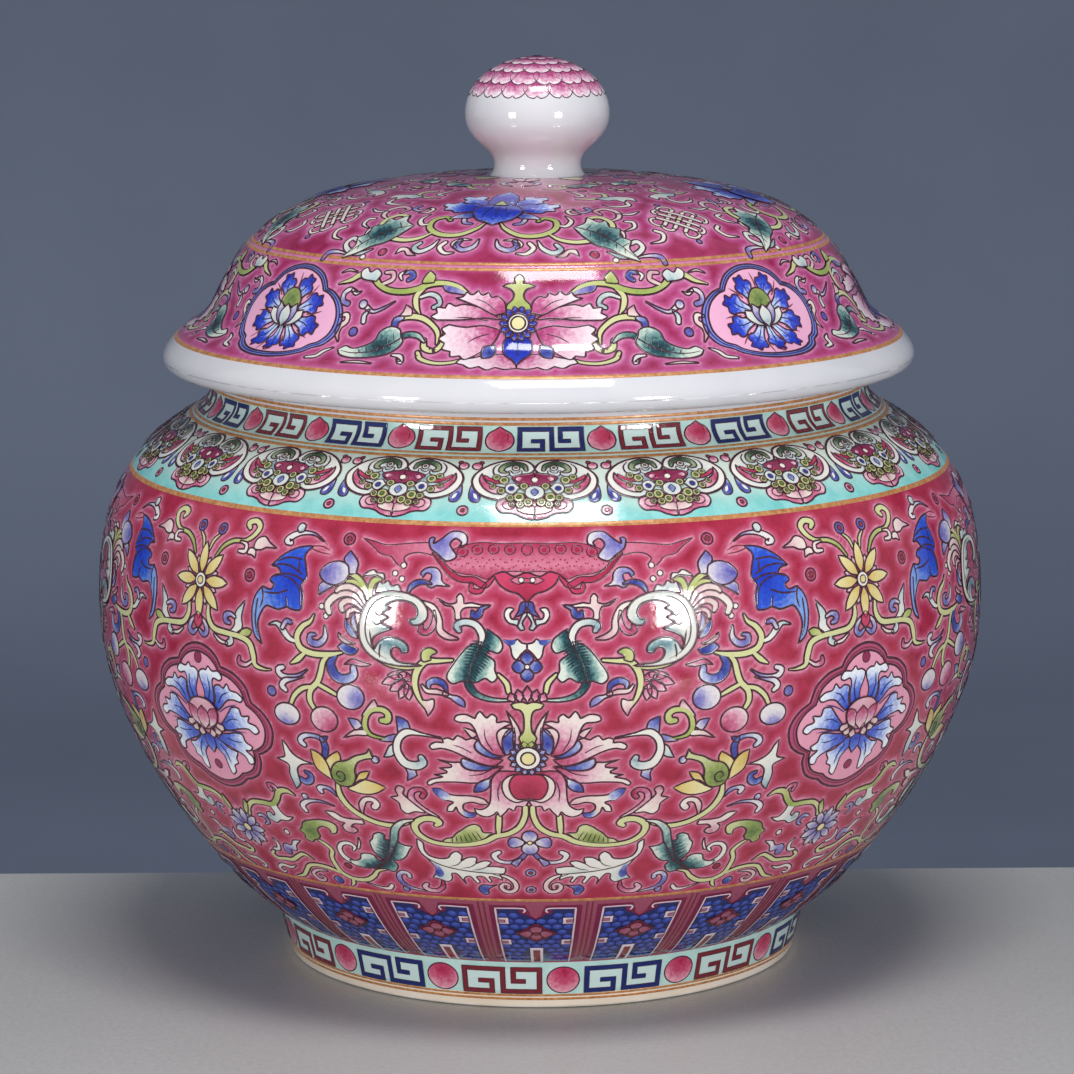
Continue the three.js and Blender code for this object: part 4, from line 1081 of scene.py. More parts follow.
def lappet(d):
    """One cloud-scroll lappet and the space beside it."""
    for _ in both_sides(d):
        d.fill("0,44.9 3.2,45.2 5.2,46.3 7.2,46.8 9.6,47 11,48.8 10.6,50.8 8.8,51.8 6.6,52.4 3,53.6 0,54",
               "pink", (4, 49, 9), 0, 0.6)
        d.fill("0,46.2! 3,46.6 5,47.8 4.4,49.4 2,49.6 0,48.6", "blush", (0, 49, 5), 1, 0.4)
        d.fill("6,48.4 7.8,48 9.2,49 8.8,50.4 7,50.8 5.6,49.8", "rosy", (7, 49.5, 3), 1, 0.4)
        d.fill("0,63.8! 0.7,65.7 2.6,67.5 6,68.1 10,67.6 14,65.9 17,63.4 19,60.3 19,57.2 17.2,54 14,52"
               " 10.4,51.3 7.6,52.2! 5.6,54.6 4.4,57.4 2.2,60.4", "white", (7, 59, 11), 1, 0.8)
        d.fill("16.5,61.8! 17,58.8 15.4,55.6 12.6,53.6 9.8,53.2! 8.4,55.4 10.4,56 13.2,57 15.4,58.8",
               "pink", (16, 57, 7), 2, 0.6)
        d.fill("15.6,61! 15.4,59.4 13,57.8 10.6,57.2 9,57.8! 11.6,58.6 13.8,59.6", "ruby", (12, 57, 4),
               3, 0.4)
        d.brush("2.7,63.3,1.1 3.5,65.2,1.8 6.6,66.3,2 9.8,65,1.9 10.6,62.9,1.6 9.2,62.3,1", "moss",
                (6, 66.4, 5), 2, 0.55)
        d.brush("4.4,62.6,0.8 5,61.6,1.3 7,61.2,1.3 7.8,62.6,0.8", "white", (6, 62, 3), 2, 0.45)
        d.spot(6, 64.1, 1.2, "white", 3, 0.5)
        d.spot(6, 64.1, 0.5, "leaf", 4, 0.3, 0)
        d.line("11.4,66.2 13,64.2 12.8,61.6 10.8,60.2 8.4,60.8 7.6,62.4", 0.6, level=2)
        d.line("0.2,63 1.8,61.8 4.4,61.4 6.2,60.4", 0.6, level=2)
        d.fill("0,62! 2.6,61.3 5.4,60.9 7,59.8 6,58.2 4,57 0,56.4!", "frame", (0, 62, 6), 3, 0.5)
        d.fill("3.6,59.6 5.2,60 6,59 4.8,58.2", "pink", (3.6, 59, 2.6), 4, 0.3)
        d.fill("4.6,55.6! 6.4,57.4 8.6,56.4 8.6,54.2 6.6,53.2", "white", (6.8, 55, 3), 4, 0.4)
        d.spot(7, 55.2, 0.9, "blue", 5, 0.3, 0)
        for x, y, r in ((9.4, 58.6, 1.5), (3.2, 56.2, 1.3), (4.6, 52, 1.6), (1.9, 50.2, 1.4),
                        (7.2, 51.8, 1.2), (11.8, 59.8, 1.2), (10, 54.4, 1.2), (12.6, 56, 1),
                        (4.2, 49.4, 1.2), (6.6, 49.6, 0.9)):
            ring_spot(d, x, y, r, 4)
    d.fill("0,56.2 2.4,55.2 2.8,53 1.6,51.6 0,51.2 -1.6,51.6 -2.8,53 -2.4,55.2", "white", (0, 54, 4),
           5, 0.45)
    d.fill("0,55.2! 1.1,53.8 0,52.2! -1.1,53.8", "blue", (0, 54, 2), 6, 0.35)
    d.spot(0, 58.8, 1.1, "blush", 4, 0.4)
    half = math.pi * JAR.unit_r / LAPPETS
    with d.at(half, 0):
        for _ in both_sides(d):
            d.spot(2.2, 65.2, 1.6, "pink", 0, 0.6, root=(2.2, 66.4, 3))
            d.spot(3.4, 66.8, 0.8, "maroon", 0, 0.4)
            d.fill("1.5,57.4! 1.1,54 1.4,51.6 2.6,50.4 4.3,50.6 4.6,52.2 3.4,54.6", "blue", (2, 52, 5),
                   0, 0.5)
            d.fill("2.4,53.6! 2.8,52 3.8,51.4 3.4,53", "white", None, 1, 0)
        d.spot(0, 47.4, 1.6, "pink", 0, 0.6, root=(0, 47.4, 2.6))
        d.spot(0, 47.4, 0.6, "maroon", 1, 0.3)


# Neck and foot: frets with peaches or pearls between them -----------------------------------------


def thick_path(points, width):
    """The outline of a square-cornered line of even width, as a path with every corner sharp."""
    run = np.array(points, float)
    ahead = np.diff(run, axis=0)
    ahead /= np.hypot(*ahead.T)[:, None]
    side = np.column_stack([-ahead[:, 1], ahead[:, 0]])
    before, after = np.vstack([side[:1], side]), np.vstack([side, side[-1:]])
    mitre = (before + after) / (1 + (before * after).sum(1))[:, None]
    ring = np.vstack([run + mitre * width / 2, (run - mitre * width / 2)[::-1]])
    return " ".join(f"{x:.3f},{y:.3f}!" for x, y in ring)


def fret(d, x, low, high, half, stroke, enamel):
    """Two square spirals joined, with pale enamel showing between the bars."""
    mid, a = low + 0.46 * (high - low), half / 11
    turn = [(-7, mid), (-3, mid), (-3, low), (-11, low), (-11, high), (0.3, high), (0.3, low), (11, low),
            (11, high), (3.4, high), (3.4, mid), (7, mid)]
    with d.at(x, 0):
        d.fill(f"{-half},{low}! {half},{low}! {half},{high}! {-half},{high}!",
               "pearl", None, 0, 0)
        d.fill(thick_path([(u * a, v) for u, v in turn], stroke), enamel, None, 1, 0.3, grid=1, shade=0.4)


def peach(d, x):
    """A peach between two frets of the neck."""
    with d.at(x, 0):
        d.fill("0,82.5! -1.6,81.4 -4,80 -5,77.4 -4,74.6 -1.6,73 0,72.7 1.6,73 4,74.6 5,77.4 4,80 1.6,81.4",
               "peach", (1, 79.4, 8), 0, 0.55)
        d.line("2.2,80.6 2.9,79 2.6,77", 0.35, "maroon", 1, (0.8, 0.1))


def pearl(d, x):
    """A rounded fruit between two frets of the foot."""
    with d.at(x, 0):
        d.spot(0, -132.7, 7.4, "peach", 0, 0.6, root=(0.4, -128.4, 12.5), squash=0.92)


# Foot of the belly: upright panels ----------------------------------------------------------------


def lower_panel(d):
    """One upright panel of scales, and the two lines between it and the next."""
    for _ in both_sides(d):
        d.fill("16.1,-78.9! 16.1,-122.4! 0,-122.4! 0,-86.8! 1.9,-84.6 2.3,-82.4 3.2,-80.2 3.6,-78.9!",
               "frame", None, 0, 0, grid=2, shade=0.2)
        d.fill("13.2,-81! 13.2,-122.4! 0,-122.4! 0,-87.4! 2.4,-85.4 3.6,-84 5.4,-83.6 5.8,-81!", "navy",
               None, 1, 0, grid=2, shade=0.3)
    for row in range(11):
        for column in range(-3, 4):
            x, y = 3.9 * (column + 0.5 * (row % 2)), -84.6 - 3.55 * row
            if abs(x) < 12 and (abs(x) > 4 or y < -87.5) and (abs(x) > 4.2 or y > -106):
                if abs(x) / 8 + abs(y + 95.6) / 7 > 1:
                    d.spot(x, y, 1.75, "scale", 2, 0, root=(x, y + 0.9, 2.8), squash=0.9)
    for _ in both_sides(d):
        d.line("13.9,-122.4 13.9,-80.3! 4.4,-80.3 3.6,-81.4 4.2,-82.6", 0.7, "lilac", 2, (1, 1))
        for top in (-85.6, -100.4):
            d.fill(f"13.4,{top}! 9.6,{top}! 9.6,{top - 4}! 13.4,{top - 4}!", "lilac", (13.4, top - 2, 5),
                   3, 0.4)
            d.fill(f"13.4,{top - 1.2}! 11,{top - 1.2}! 11,{top - 2.8}! 13.4,{top - 2.8}!", "dusk", None,
                   4, 0.3)
        d.fill("2.6,-122.4! 2.6,-107.2! 0,-107.2! 0,-122.4!", "lilac", None, 3, 0)
        d.fill("1.4,-122.4! 1.4,-109! 0,-109! 0,-122.4!", "maroon", None, 4, 0)
        d.fill("1.6,-94.4! 3.6,-94 6.4,-96 3.6,-98.4 1.6,-97.2!", "dusk", (6, -96, 6), 4, 0.5)
    d.fill("0,-89.6 2.8,-91.4 4.2,-93 7.6,-95.9 4.2,-98.8 2.6,-100.4 0,-101.8 -2.6,-100.4 -4.2,-98.8"
           " -7.6,-95.9 -4.2,-93 -2.8,-91.4", "frame", None, 3, 0.5, shade=0)
    d.fill("0,-91 2.2,-92.4 1.8,-94.8 0,-95.6 -1.8,-94.8 -2.2,-92.4", "dusk", (0, -91, 5), 4, 0.5)
    d.fill("0,-100.4 1.8,-99.4 2,-97.2 0,-96 -2,-97.2 -1.8,-99.4", "dusk", (0, -100, 5), 4, 0.5)
    d.spot(0, -95.8, 1.1, "maroon", 5, 0.4)
    with d.at(math.pi * JAR.unit_r / PANELS, 0):
        for x in (-0.9, 0.9):
            d.line(f"{x},-77.4 {x},-122.4", 0.6, "maroon", 0, (1, 1))


LAPPET, PANEL, NECK_FRET, FOOT_FRET = Drawing(), Drawing(), Drawing(), Drawing()
with LAPPET.at(2, 0):
    lappet(LAPPET)
with PANEL.at(1.2, 0):
    lower_panel(PANEL)
NECK_STEP = 2 * math.pi * JAR.unit_r / NECK_FRETS
FOOT_STEP = 2 * math.pi * JAR.unit_r / FOOT_FRETS
for k, bar_enamel in enumerate(("navy", "maroon")):
    fret(NECK_FRET, 7.5 + k * NECK_STEP, 73.3, 81.6, 10.8, 1.55, bar_enamel)
    peach(NECK_FRET, 7.5 + (k + 0.5) * NECK_STEP)
    fret(FOOT_FRET, 41 + k * FOOT_STEP, -138.6, -127, 17.2, 2.3, bar_enamel)
    pearl(FOOT_FRET, 41 + (k + 0.5) * FOOT_STEP)
lay(LAPPET, JAR, "jar", LAPPETS, zone="band_")
lay(PANEL, JAR, "jar", PANELS, zone="band_")
lay(NECK_FRET, JAR, "jar", NECK_FRETS // 2, zone="band_")
lay(FOOT_FRET, JAR, "jar", FOOT_FRETS // 2, zone="band_")

# The side of the lid ------------------------------------------------------------------------------

LID_HALF = math.pi * LID.unit_r / 4
SIDE_HALF, SIDE_WHOLE = Drawing(), Drawing()


def lid_lotus(d):
    """The side lotus, over the jar's own lotus axis."""
    for _ in both_sides(d):
        d.fill("0,14! 4,14.6 8,14.2 11,13.2 14,12.6! 14.6,11.2 12.8,10.4! 11,9.2 9,9.9! 7,8.7 5,9.6!"
               " 2.6,8.9 0,9.3!", "petal", (0, 16, 13), 0)
        d.fill("4.5,21.8! 9,22.9 14,22.4 18.4,23! 20.2,21.8 19,20.4! 20.6,19 18.8,17.7! 19.2,16 17,15.3!"
               " 16.6,13.6 14.4,13.9! 13,12.5 11.4,13.4! 8.8,15.6 6,18.4", "petal", (4.5, 22, 16), 1)
        d.fill("4.5,24.6! 9,25 15,24.4 22,24.2! 23.6,25.1 22,26.2! 22.4,27.7 20,27.6! 19.2,29 17.2,28.2!"
               " 15,28.8 11,28.2 7.6,26.8", "petal", (4.5, 24.6, 18), 2)
        d.fill("3.2,26.6! 3.8,29.6 5.6,31.4! 7.4,31 8.2,32.4! 10,31.6 11.2,32.9! 12.8,31.6 14.4,32.4!"
               " 15.4,31 17.4,30.6! 14,29.4 10,27.8 6.4,26", "petal", (3.4, 25.4, 14), 3)
        d.fill("5.7,17.4! 5.5,15 6.8,13.3 8.6,13! 9,15 8.5,16.8", "blue", (7, 15, 4), 2)
        d.line("7.5,20.6 10.6,19.6 13,18", 0.3, level=2, ends=(0.8, 0.1))
        d.line("8,24.2 13,25 17,25", 0.3, level=3, ends=(0.8, 0.1))
        d.line("6,27 9,29.4 12,30.4", 0.3, level=4, ends=(0.8, 0.1))
    d.fill("0,10.2! 1.4,12.6 3,14.2 3.7,16.4 3.2,19 0,21 -3.2,19 -3.7,16.4 -3,14.2 -1.4,12.6", "azure",
           (0, 19, 12), 3)
    d.line("0,19 0,13.6", 0.35, "navy", 4, (1, 0.1))
    d.fill("0,38 1.4,36.6 1,35.1! 3,35 4.6,34.2! 2.2,33.4 1.3,31.8 1.7,30.3 3.2,28.6 3,26.6 0,26 -3,26.6"
           " -3.2,28.6 -1.7,30.3 -1.3,31.8 -2.2,33.4 -4.6,34.2! -3,35 -1,35.1! -1.4,36.6", "lime",
           (0, 26, 12), 4)
    flower_ring(d, 0, 23.5, 14, 2.4, 5, 2.2, "cobalt", 5, tip=0.6)
    d.spot(0, 23.5, 2.7, "white", 6)
    d.spot(0, 23.5, 1.9, "yellow", 7)


LID_FRAME = ("0,38.4 4,37.9 8.5,35.9 11,33.3 12,31.6! 15,30.6 18.4,27.8 20.3,23.7 20,19 17.4,15.4"
             " 14.4,13.9! 12,11.6 7,9.5 0,8.8")


def lid_medallion(d, x):
    """The lobed medallion between two side lotuses."""
    with d.at(x, 0):
        d.fill(mirrored_outline(LID_FRAME), "periwinkle", None, 0, 0.6, grid=2)
        with d.at(0, 23.5 * 0.05, size=0.95):
            d.line(mirrored_outline(LID_FRAME), 0.35, "navy", 1, closed=True)
        with d.at(0, 23.5 * 0.1, size=0.9):
            d.fill(mirrored_outline(LID_FRAME), "lilac_pink", (0, 23, 20), 1, 0.6, grid=2)
        for angle, size, level in ((66, 1.02, 3), (114, 1.02, 3), (24, 1.04, 2), (156, 1.04, 2),
                                   (-14, 1.04, 3), (194, 1.04, 3), (-52, 0.98, 2), (232, 0.98, 2),
                                   (-90, 0.86, 3)):
            with d.at(0, 22.6, angle, size):
                d.fill("1.5,-0.8! 4.6,-1.1 7.4,-1.7 8.8,-2.9 10.2,-2.6 10.8,-1.4 12.6,-1.5 12.4,0 12.9,1.3"
                       " 11.2,1.6 10.6,2.8 9.2,2.9 7.4,1.8 4.6,1.1 1.5,0.8!", "cobalt_tip", (2, 0, 10),
                       level, 0.55)
                d.line("4,0 7.6,0.2 9.6,-0.2", 0.35, "navy", level + 1, (0.3, 1))
                d.line("11.6,5 9.4,3.6 7,2.6", 0.4, "maroon", 2, (0.2, 1))
        d.fill("-4,25! -3.8,27.6 -2,30 0,30.6 2,30 3.8,27.6 4,25!", "leaf", (0, 27, 8), 5)
        for _ in both_sides(d):
            d.fill("0.6,19.4! 3.6,20 6.4,22.2 6.4,24.4! 4,23.8 2,22.6", "white", (1, 20, 6), 6)
            d.fill("0.4,19.4! 2.8,21 4,23.6 3.4,26! 1.6,24.6 0.4,22.6", "violet", (2.6, 20, 7), 7)
        d.fill("0,19! 1.7,21 1.9,23.4 0,25.6! -1.9,23.4 -1.7,21", "white", (0, 19.6, 6), 8)
        d.spot(0, 11.8, 0.9, "pink", 2, 0.3, 0.2)


def lid_scrolls(d):
    """Stems and curls from the side lotus to the medallion."""
    d.fill("12.6,31.4! 15,32.8 18,35.2 21.6,34.6 20.4,32.6 17,31.9", "violet", (20, 33, 8), 1)
    d.brush("13.4,31.6,0.6 17,34,1.4 21,35,1.7 25.4,34.6,2 29,32.9,2 33,32,1.9 37.6,32.2,1.8 41,33.6,1.8"
            " 44,36,2.2 48,36.6,2.1 51,34.6,1.5 55,33.2,0.4", "lime", (34, 32, 20), 2)
    d.fill("24.4,35! 24.2,37 26.2,38.9! 27.4,37 27.8,34.8", "lime", (26, 35, 4), 3)
    d.fill("42.4,34.6! 41.4,37 43.4,38.6 45.2,37.4 46.8,38.9 48.4,37.4 47.2,35.2", "white", (44, 35, 5), 3)
    d.brush("26.6,33.8,1.2 28.8,31,1.8 28.4,28,1.7 27,25.8,0.5", "lime", None, 1)
    d.brush("27.6,30.6,1.1 25,31.6,1.5 22.6,30.8,1.6 21.8,28.8,1.5 23.4,27.8,1.3", "white", (23, 29, 7), 0)
    d.brush("41.6,33.4,0.7 39.4,34.4,1.4 37.4,35.8,1.6 38,37.8,1.6 40.2,37.8,1.3", "blush", (39, 37, 5), 0)
    d.brush("34,37.9,1 32.2,38.3,1.5 31.2,36.9,1.8 32.4,35.7,1.4", "blue", (32, 37, 3), 0)
    d.brush("34,38.6,0.7 35.4,37.2,1.2 34.6,35.8,0.8", "white", None, 0)
    d.brush("35,29,0.3 38,27,0.8 41,25.8,1 43.4,27,1.5", "violet", (36, 29, 8), 0)
    d.spot(44.6, 27.7, 1.3, "violet", 1, root=(44.6, 28.8, 2.4))
    d.brush("42.4,26,0.8 43.4,24.4,1.5 43.2,22.8,1.5", "white", (43, 26, 5), 0)
    d.spot(45.5, 19.8, 1.3, "violet", 0, shade=0)
    d.brush("21,17.6,0.6 21.2,20.6,1.4 23,22.8,1.5 26,24.6,1.7 29.6,25,1.8 32.4,24.4,1.6", "lime", None, 0)
    d.fill("29.2,25.2! 29.4,27 31.4,28.3! 31.8,26.4 32.6,25", "blush", (31, 28, 4), 0)
    d.brush("31.8,24.4,1.2 33.4,23.6,2 33.6,22,1.7", "blue", (33.8, 22.4, 3.4), 1)
    d.brush("18.4,22.4,0.4 19.2,20.2,1.3 19.6,17.4,1.5 21.4,15.4,1.6 24,16.2,1.7 24.6,18.4,1.4", "lime",
            None, 0)
    d.brush("24.4,18,0.7 26.4,19.6,1.5 29.4,19.8,1.6 32,18.4,1.4", "teal", (32, 18, 9), 1)
    d.fill("31,19.2! 31.8,21.2 34.5,21.8 37.2,20.3 38.2,17.6 40.6,15.8 43.5,14.7 46,15.4 47.7,14! 46,12.1"
           " 42,11.2 38,11.7 34,13 31.2,15.6 30.2,17.8", "teal", (36, 15.4, 8), 2)
    d.line("31,18.6 34,16.2 38.4,13.8 43,13 46.6,13.6", 0.4, level=3, ends=(1, 0.3))
    for k in range(6):
        x, y = 32.4 + 1.7 * k, 17.4 - 0.8 * k
        d.line(f"{x},{y} {x + 0.9},{y + 2.6 - 0.25 * k}", 0.28, level=3, ends=(1, 0.1))
        d.line(f"{x + 0.6},{y - 0.4} {x + 0.8},{y - 2.2 + 0.2 * k}", 0.28, level=3, ends=(1, 0.1))
    d.brush("30,12.2,0.4 28.6,10.4,1.4 29.6,13,1.5 31.6,13.4,1", "violet", None, 0)
    d.brush("10.6,12,0.5 13,12.6,1 16,11.2,1.3 20,10.8,1.4 24,12.4,1.5 25.4,14.8,1.2", "lime", None, 0)
    d.brush("48,31.4,0.5 50.4,31.8,1.4 52,30.4,1.5 51.6,28.2,1.6 49.8,27.6,1.6", "violet", (50.4, 28, 4), 0)
    d.brush("46.4,31.4,0.3 48,30.6,0.9 49.4,31.6,1", "white", None, 0)
    d.brush("51,24,0.8 49,24.4,1.5 48.6,22.6,1.6 50.2,21,1.6 50.4,19,1.4 49.2,16.8,0.4", "blush",
            (49, 17, 8), 0)
    d.brush("49.6,14.6,0.4 51.6,13.2,1.3 52.6,11,1.4 55.2,10.2,1", "white", None, 0)
    d.brush("36,9.6,0.4 40,9.9,0.9 44,9.4,0.4", "pink", None, 0)
    d.brush("50.2,37.4,0.4 53,37.9,0.8 55.4,36.8,0.4", "pink", None, 0)


lid_lotus(SIDE_WHOLE)
lid_medallion(SIDE_WHOLE, LID_HALF)
lid_scrolls(SIDE_HALF)
lay(SIDE_HALF, LID, "lid", 4, mirror=True)
lay(SIDE_WHOLE, LID, "lid", 4)
SIDE = SIDE_HALF.edges + SIDE_WHOLE.edges

# The top of the lid -------------------------------------------------------------------------------

CROWN_HALF, CROWN_WHOLE = Drawing(), Drawing()


def crown_lotus(d):
    """A blue lotus standing on each quarter of the lid."""
    for _ in both_sides(d):
        d.fill("5.5,-51! 9,-47.6 12,-47.8 14,-45.8 16,-47.4 18.4,-46.4 19.4,-48.8 17.8,-50.4 18.6,-52.8"
               " 16,-53.6 14.4,-55.8 11,-55.8 7.4,-55", "azure", (6, -53, 11), 2)
        d.fill("3.5,-50.6! 4.6,-45 6.6,-42.6 6,-39.8 8.4,-38.4 10.4,-39.8 13,-38.6 14.2,-41 12.8,-42.8"
               " 13.2,-45.4 10.6,-47.6 7.6,-51.4", "azure", (5, -52, 11), 1)
        d.fill("7,-56! 10,-56.6 13.6,-58.4 15.4,-61! 12.2,-60.6 8.8,-60.8 7,-59", "blue", (7, -57, 8), 1)
    d.fill("0,-32.6! 2,-35.4 3.8,-38.4 4.6,-43 4,-50 0,-51.6 -4,-50 -4.6,-43 -3.8,-38.4 -2,-35.4", "azure",
           (0, -50, 16), 2)
    d.fill("0,-50 4.6,-50.4 7.6,-53.4 7.8,-58 5.6,-62.6 2.8,-64.4 0,-66.4! -2.8,-64.4 -5.6,-62.6 -7.8,-58"
           " -7.6,-53.4 -4.6,-50.4", "azure", (0, -52, 16.5), 4)
    for x in (-3.6, 0, 3.6):
        d.line(f"{x * 0.6},-52 {x},-57 {x * 1.1},-61", 0.35, "navy", 5, (1, 0.1))
    d.fill("-2.4,-50.6! -1.2,-48 0,-46! 1.2,-48 2.4,-50.6!", "lime", (0, -50, 5), 5)


def crown_scrolls(d):
    """Stems and curls from the crown lotus to the knot."""
    d.brush("2,-66.4,0.6 4,-69.6,1.5 8.4,-72.4,1.9 13.8,-71.6,2 17.2,-67.8,1.9 16.6,-63.4,1.8"
            " 13.4,-62.2,1.6 12,-64.4,1.3", "lime", (12, -64, 14), 1)
    d.brush("6.4,-60.8,0.5 8.2,-63,1.3 7.8,-66,1.5 6,-66.8,1.2", "violet", (6, -67, 5), 0)
    for path in ("18.6,-59.4,0.5 20.6,-62.2,1.4 19.8,-65.4,1.5 18,-65.6,1",
                 "4.6,-74.8,0.4 7.4,-74.6,1.2 9.4,-76.2,1.3 8.6,-77.8,1",
                 "36.2,-66.4,0.4 35,-63.4,1.2 33,-62.8,1.2 32.6,-64.6,0.9",
                 "22.2,-57.2,0.4 19.6,-57.6,1.2 18.4,-55.6,1.3 19.6,-54,1"):
        d.brush(path, "blush", None, 0)
    d.brush("15.8,-70.4,0.8 19.4,-72.4,1.5 24,-72.2,1.7 28.6,-69.4,1.8 31.6,-65,1.9 31.4,-60.2,1.8"
            " 28,-57.6,1.7 25,-59,1.6 25.4,-61.6,1.2", "lime", None, 1)
    with d.at(-2, 20, size=1.3):
        d.fill("18.4,-66! 20.2,-63.6 20.4,-61 23,-62.2 24.2,-61 25.6,-63.4 27.6,-63.2 28.4,-66 30.6,-66.4"
               " 31,-69 34,-71.4! 30.6,-71.6 27,-70.8 24,-70.6 21,-68.8", "teal", (25, -67, 6.6), 2)
        d.line("18.8,-66 22.6,-66.4 26.6,-67.8 32.6,-70.8", 0.4, level=3, ends=(1, 0.2))
        for k in range(5):
            d.line(f"{21 + 2.1 * k},{-66.3 - 0.7 * k} {21.8 + 2.2 * k},{-63.6 - 0.9 * k}", 0.28, level=3,
                   ends=(1, 0.1))
            d.line(f"{22 + 2 * k},{-66.7 - 0.7 * k} {22.4 + 2 * k},{-68.8 - 0.5 * k}", 0.28, level=3,
                   ends=(1, 0.1))
    d.brush("30.6,-59,0.6 32.4,-55.4,1.5 31,-51.6,1.7 27.4,-51,1.7 25.6,-53.6,1.6 27.4,-55.4,1.2", "blush",
            (27, -54, 8), 0)
    d.brush("31.8,-53,0.8 35,-51.6,1.3 36.6,-48.6,0.5", "violet", None, 0)
    d.brush("2.4,-74.6,0.4 3.4,-77.6,1.5 6.4,-78.8,1.7 8.4,-77,1.7 7.4,-75,1.4", "violet", (8, -76, 7), 0)
    d.brush("8.8,-79.8,0.5 11.4,-79.6,1.3 13,-77.2,1.6 11.6,-75.4,1.4", "blush", None, 0)
    d.brush("13.6,-74,0.5 15.4,-76.8,1.5 18.6,-78,1.7 20.4,-76.2,1.7 18.8,-74.6,1.4", "white",
            (20, -76, 6), 0)
    d.fill("19.4,-79.4! 22.2,-78.6 23.2,-76.8 25.8,-77.4! 24.4,-75.2 22.2,-75.8 21,-77.6", "blush",
           (20, -79, 6), 0)
    d.spot(29.6, -75.4, 1.3, "pink", 0, shade=0.1)
    d.spot(35.6, -75.2, 0.9, "white", 0, 0.35)
    d.brush("32.8,-73.2,0.5 36.8,-73.4,1.5 40.2,-70.8,1.8 41.4,-67.2,1.7 39.4,-65.6,1.7 38,-67.4,1.4",
            "white", (36, -72, 9), 0)
    d.brush("40.6,-72,0.4 43.8,-69.4,1.2 46.8,-68.2,1.7 48.6,-69.6,1.5", "violet", (48, -69, 6), 0)
    d.brush("43.2,-64.4,0.4 45.8,-61.4,1.3 45.2,-58.2,1.5 43,-58,1.4", "blush", None, 0)
    d.brush("35.4,-62.4,0.4 37.4,-59.2,1.2 36.4,-56.4,1.4 34.6,-57,1.2", "white", None, 0)
    d.brush("19.6,-54.2,0.4 22.4,-55.6,1.2 24,-53.6,1.5 22.8,-51.8,1.4", "violet", (23, -53, 4), 0)
    d.brush("26.6,-47.6,0.4 30,-47.8,1.3 33.2,-45,1.6 32.4,-42.4,1.4", "blush", None, 0)
    d.brush("14.6,-35.4,0.4 17.8,-37.8,1.3 20,-40.6,1.4 18.4,-42,1.2", "blush", None, 0)
    d.brush("18.8,-45,0.5 22.6,-43.4,1.3 25.8,-39.6,1.6 24.6,-36.2,1.6 21.4,-36.6,1.4", "lime", None, 0)
    d.fill("23.6,-42.6! 27.4,-43 29,-41.4 31.6,-42.6 32,-39.8 34.8,-40! 33,-37 29.4,-37.4 26,-39.6",
           "white", (24, -42, 10), 0)
    d.brush("8,-34.6,0.6 11.4,-33.8,1.4 13.6,-30.4,1.7 12,-27,1.7 8.8,-27.4,1.5 9,-29.8,1.2", "lime",
            None, 0)
    d.fill("13,-29.8! 16.4,-30.6 17.4,-28.6 19.8,-29.2 20.4,-26.6 22.8,-26! 20,-24 16.4,-24.6 13.8,-27",
           "teal", (16, -27.4, 5), 1)
    d.brush("19.6,-24,0.6 21.6,-20.8,1.4 20,-18,1.5 17.6,-18.8,1.3", "blush", None, 0)
    d.brush("1.6,-30.4,0.5 4.6,-27,1.4 4.4,-23.6,1.6 2.2,-22.6,1.4", "violet", (2, -23, 6), 0)
    d.spot(18.6, -34, 1.2, "pink", 0, shade=0.1)
    d.fill("0,-21.6! 2.4,-19.8 3.6,-17.6 3.3,-15! 0,-15.4!", "pink", (0, -15, 6), 0)


def knot(d):
    """A plain woven knot, one between each two lotuses."""
    with d.at(0, 0, 45):
        with d.at(0, -67.5, size=0.86):
            for turn in (0, 90):
                with d.at(0, 0, turn + 45):
                    for shift in (-3.4, 0, 3.4):
                        d.brush(f"-6.4,{shift},1.5 0,{shift},1.5 6.4,{shift},1.5", "blush", None,
                                1 + (turn > 0), 0.4)
            for turn in range(0, 360, 90):
                with d.at(0, 0, turn + 45):
                    d.brush("6.4,0,1.3 8.4,-0.6,1.3 8.8,-2.6,1.3 7.8,-3.8,1.3 6.4,-3.4,1.3", "blush", None,
                            0, 0.4)
                    d.brush("6.4,3.4,1.2 8.2,4.6,1.2 7.4,7.2,1.2 4.8,8,1.2 3.4,6.4,1.2", "blush", None,
                            0, 0.4)
            d.spot(0, 0, 1, "yellow", 3, 0.4)
            for y in (-12.2, 12.2):
                d.spot(0, y, 1, "violet", 0, shade=0.1)
        with d.at(0, -40):
            flower_ring(d, 0, 0, 5, 0.8, 4.2, 2.6, "pink", 0, 90)
            d.spot(0, 0, 1.2, "yellow", 1)
        d.fill("-3.3,-15! -2.8,-18.6 0,-21.6! 2.8,-18.6 3.3,-15! 0,-14.6", "lime", (0, -15, 7), 0)


with CROWN_WHOLE.at(0, -13.6, size=0.82):
    crown_lotus(CROWN_WHOLE)
knot(CROWN_WHOLE)
crown_scrolls(CROWN_HALF)
lay(CROWN_HALF, LID_TOP, "lid", 4, mirror=True)
lay(CROWN_WHOLE, LID_TOP, "lid", 4)

# The knob's cap of petals -------------------------------------------------------------------------

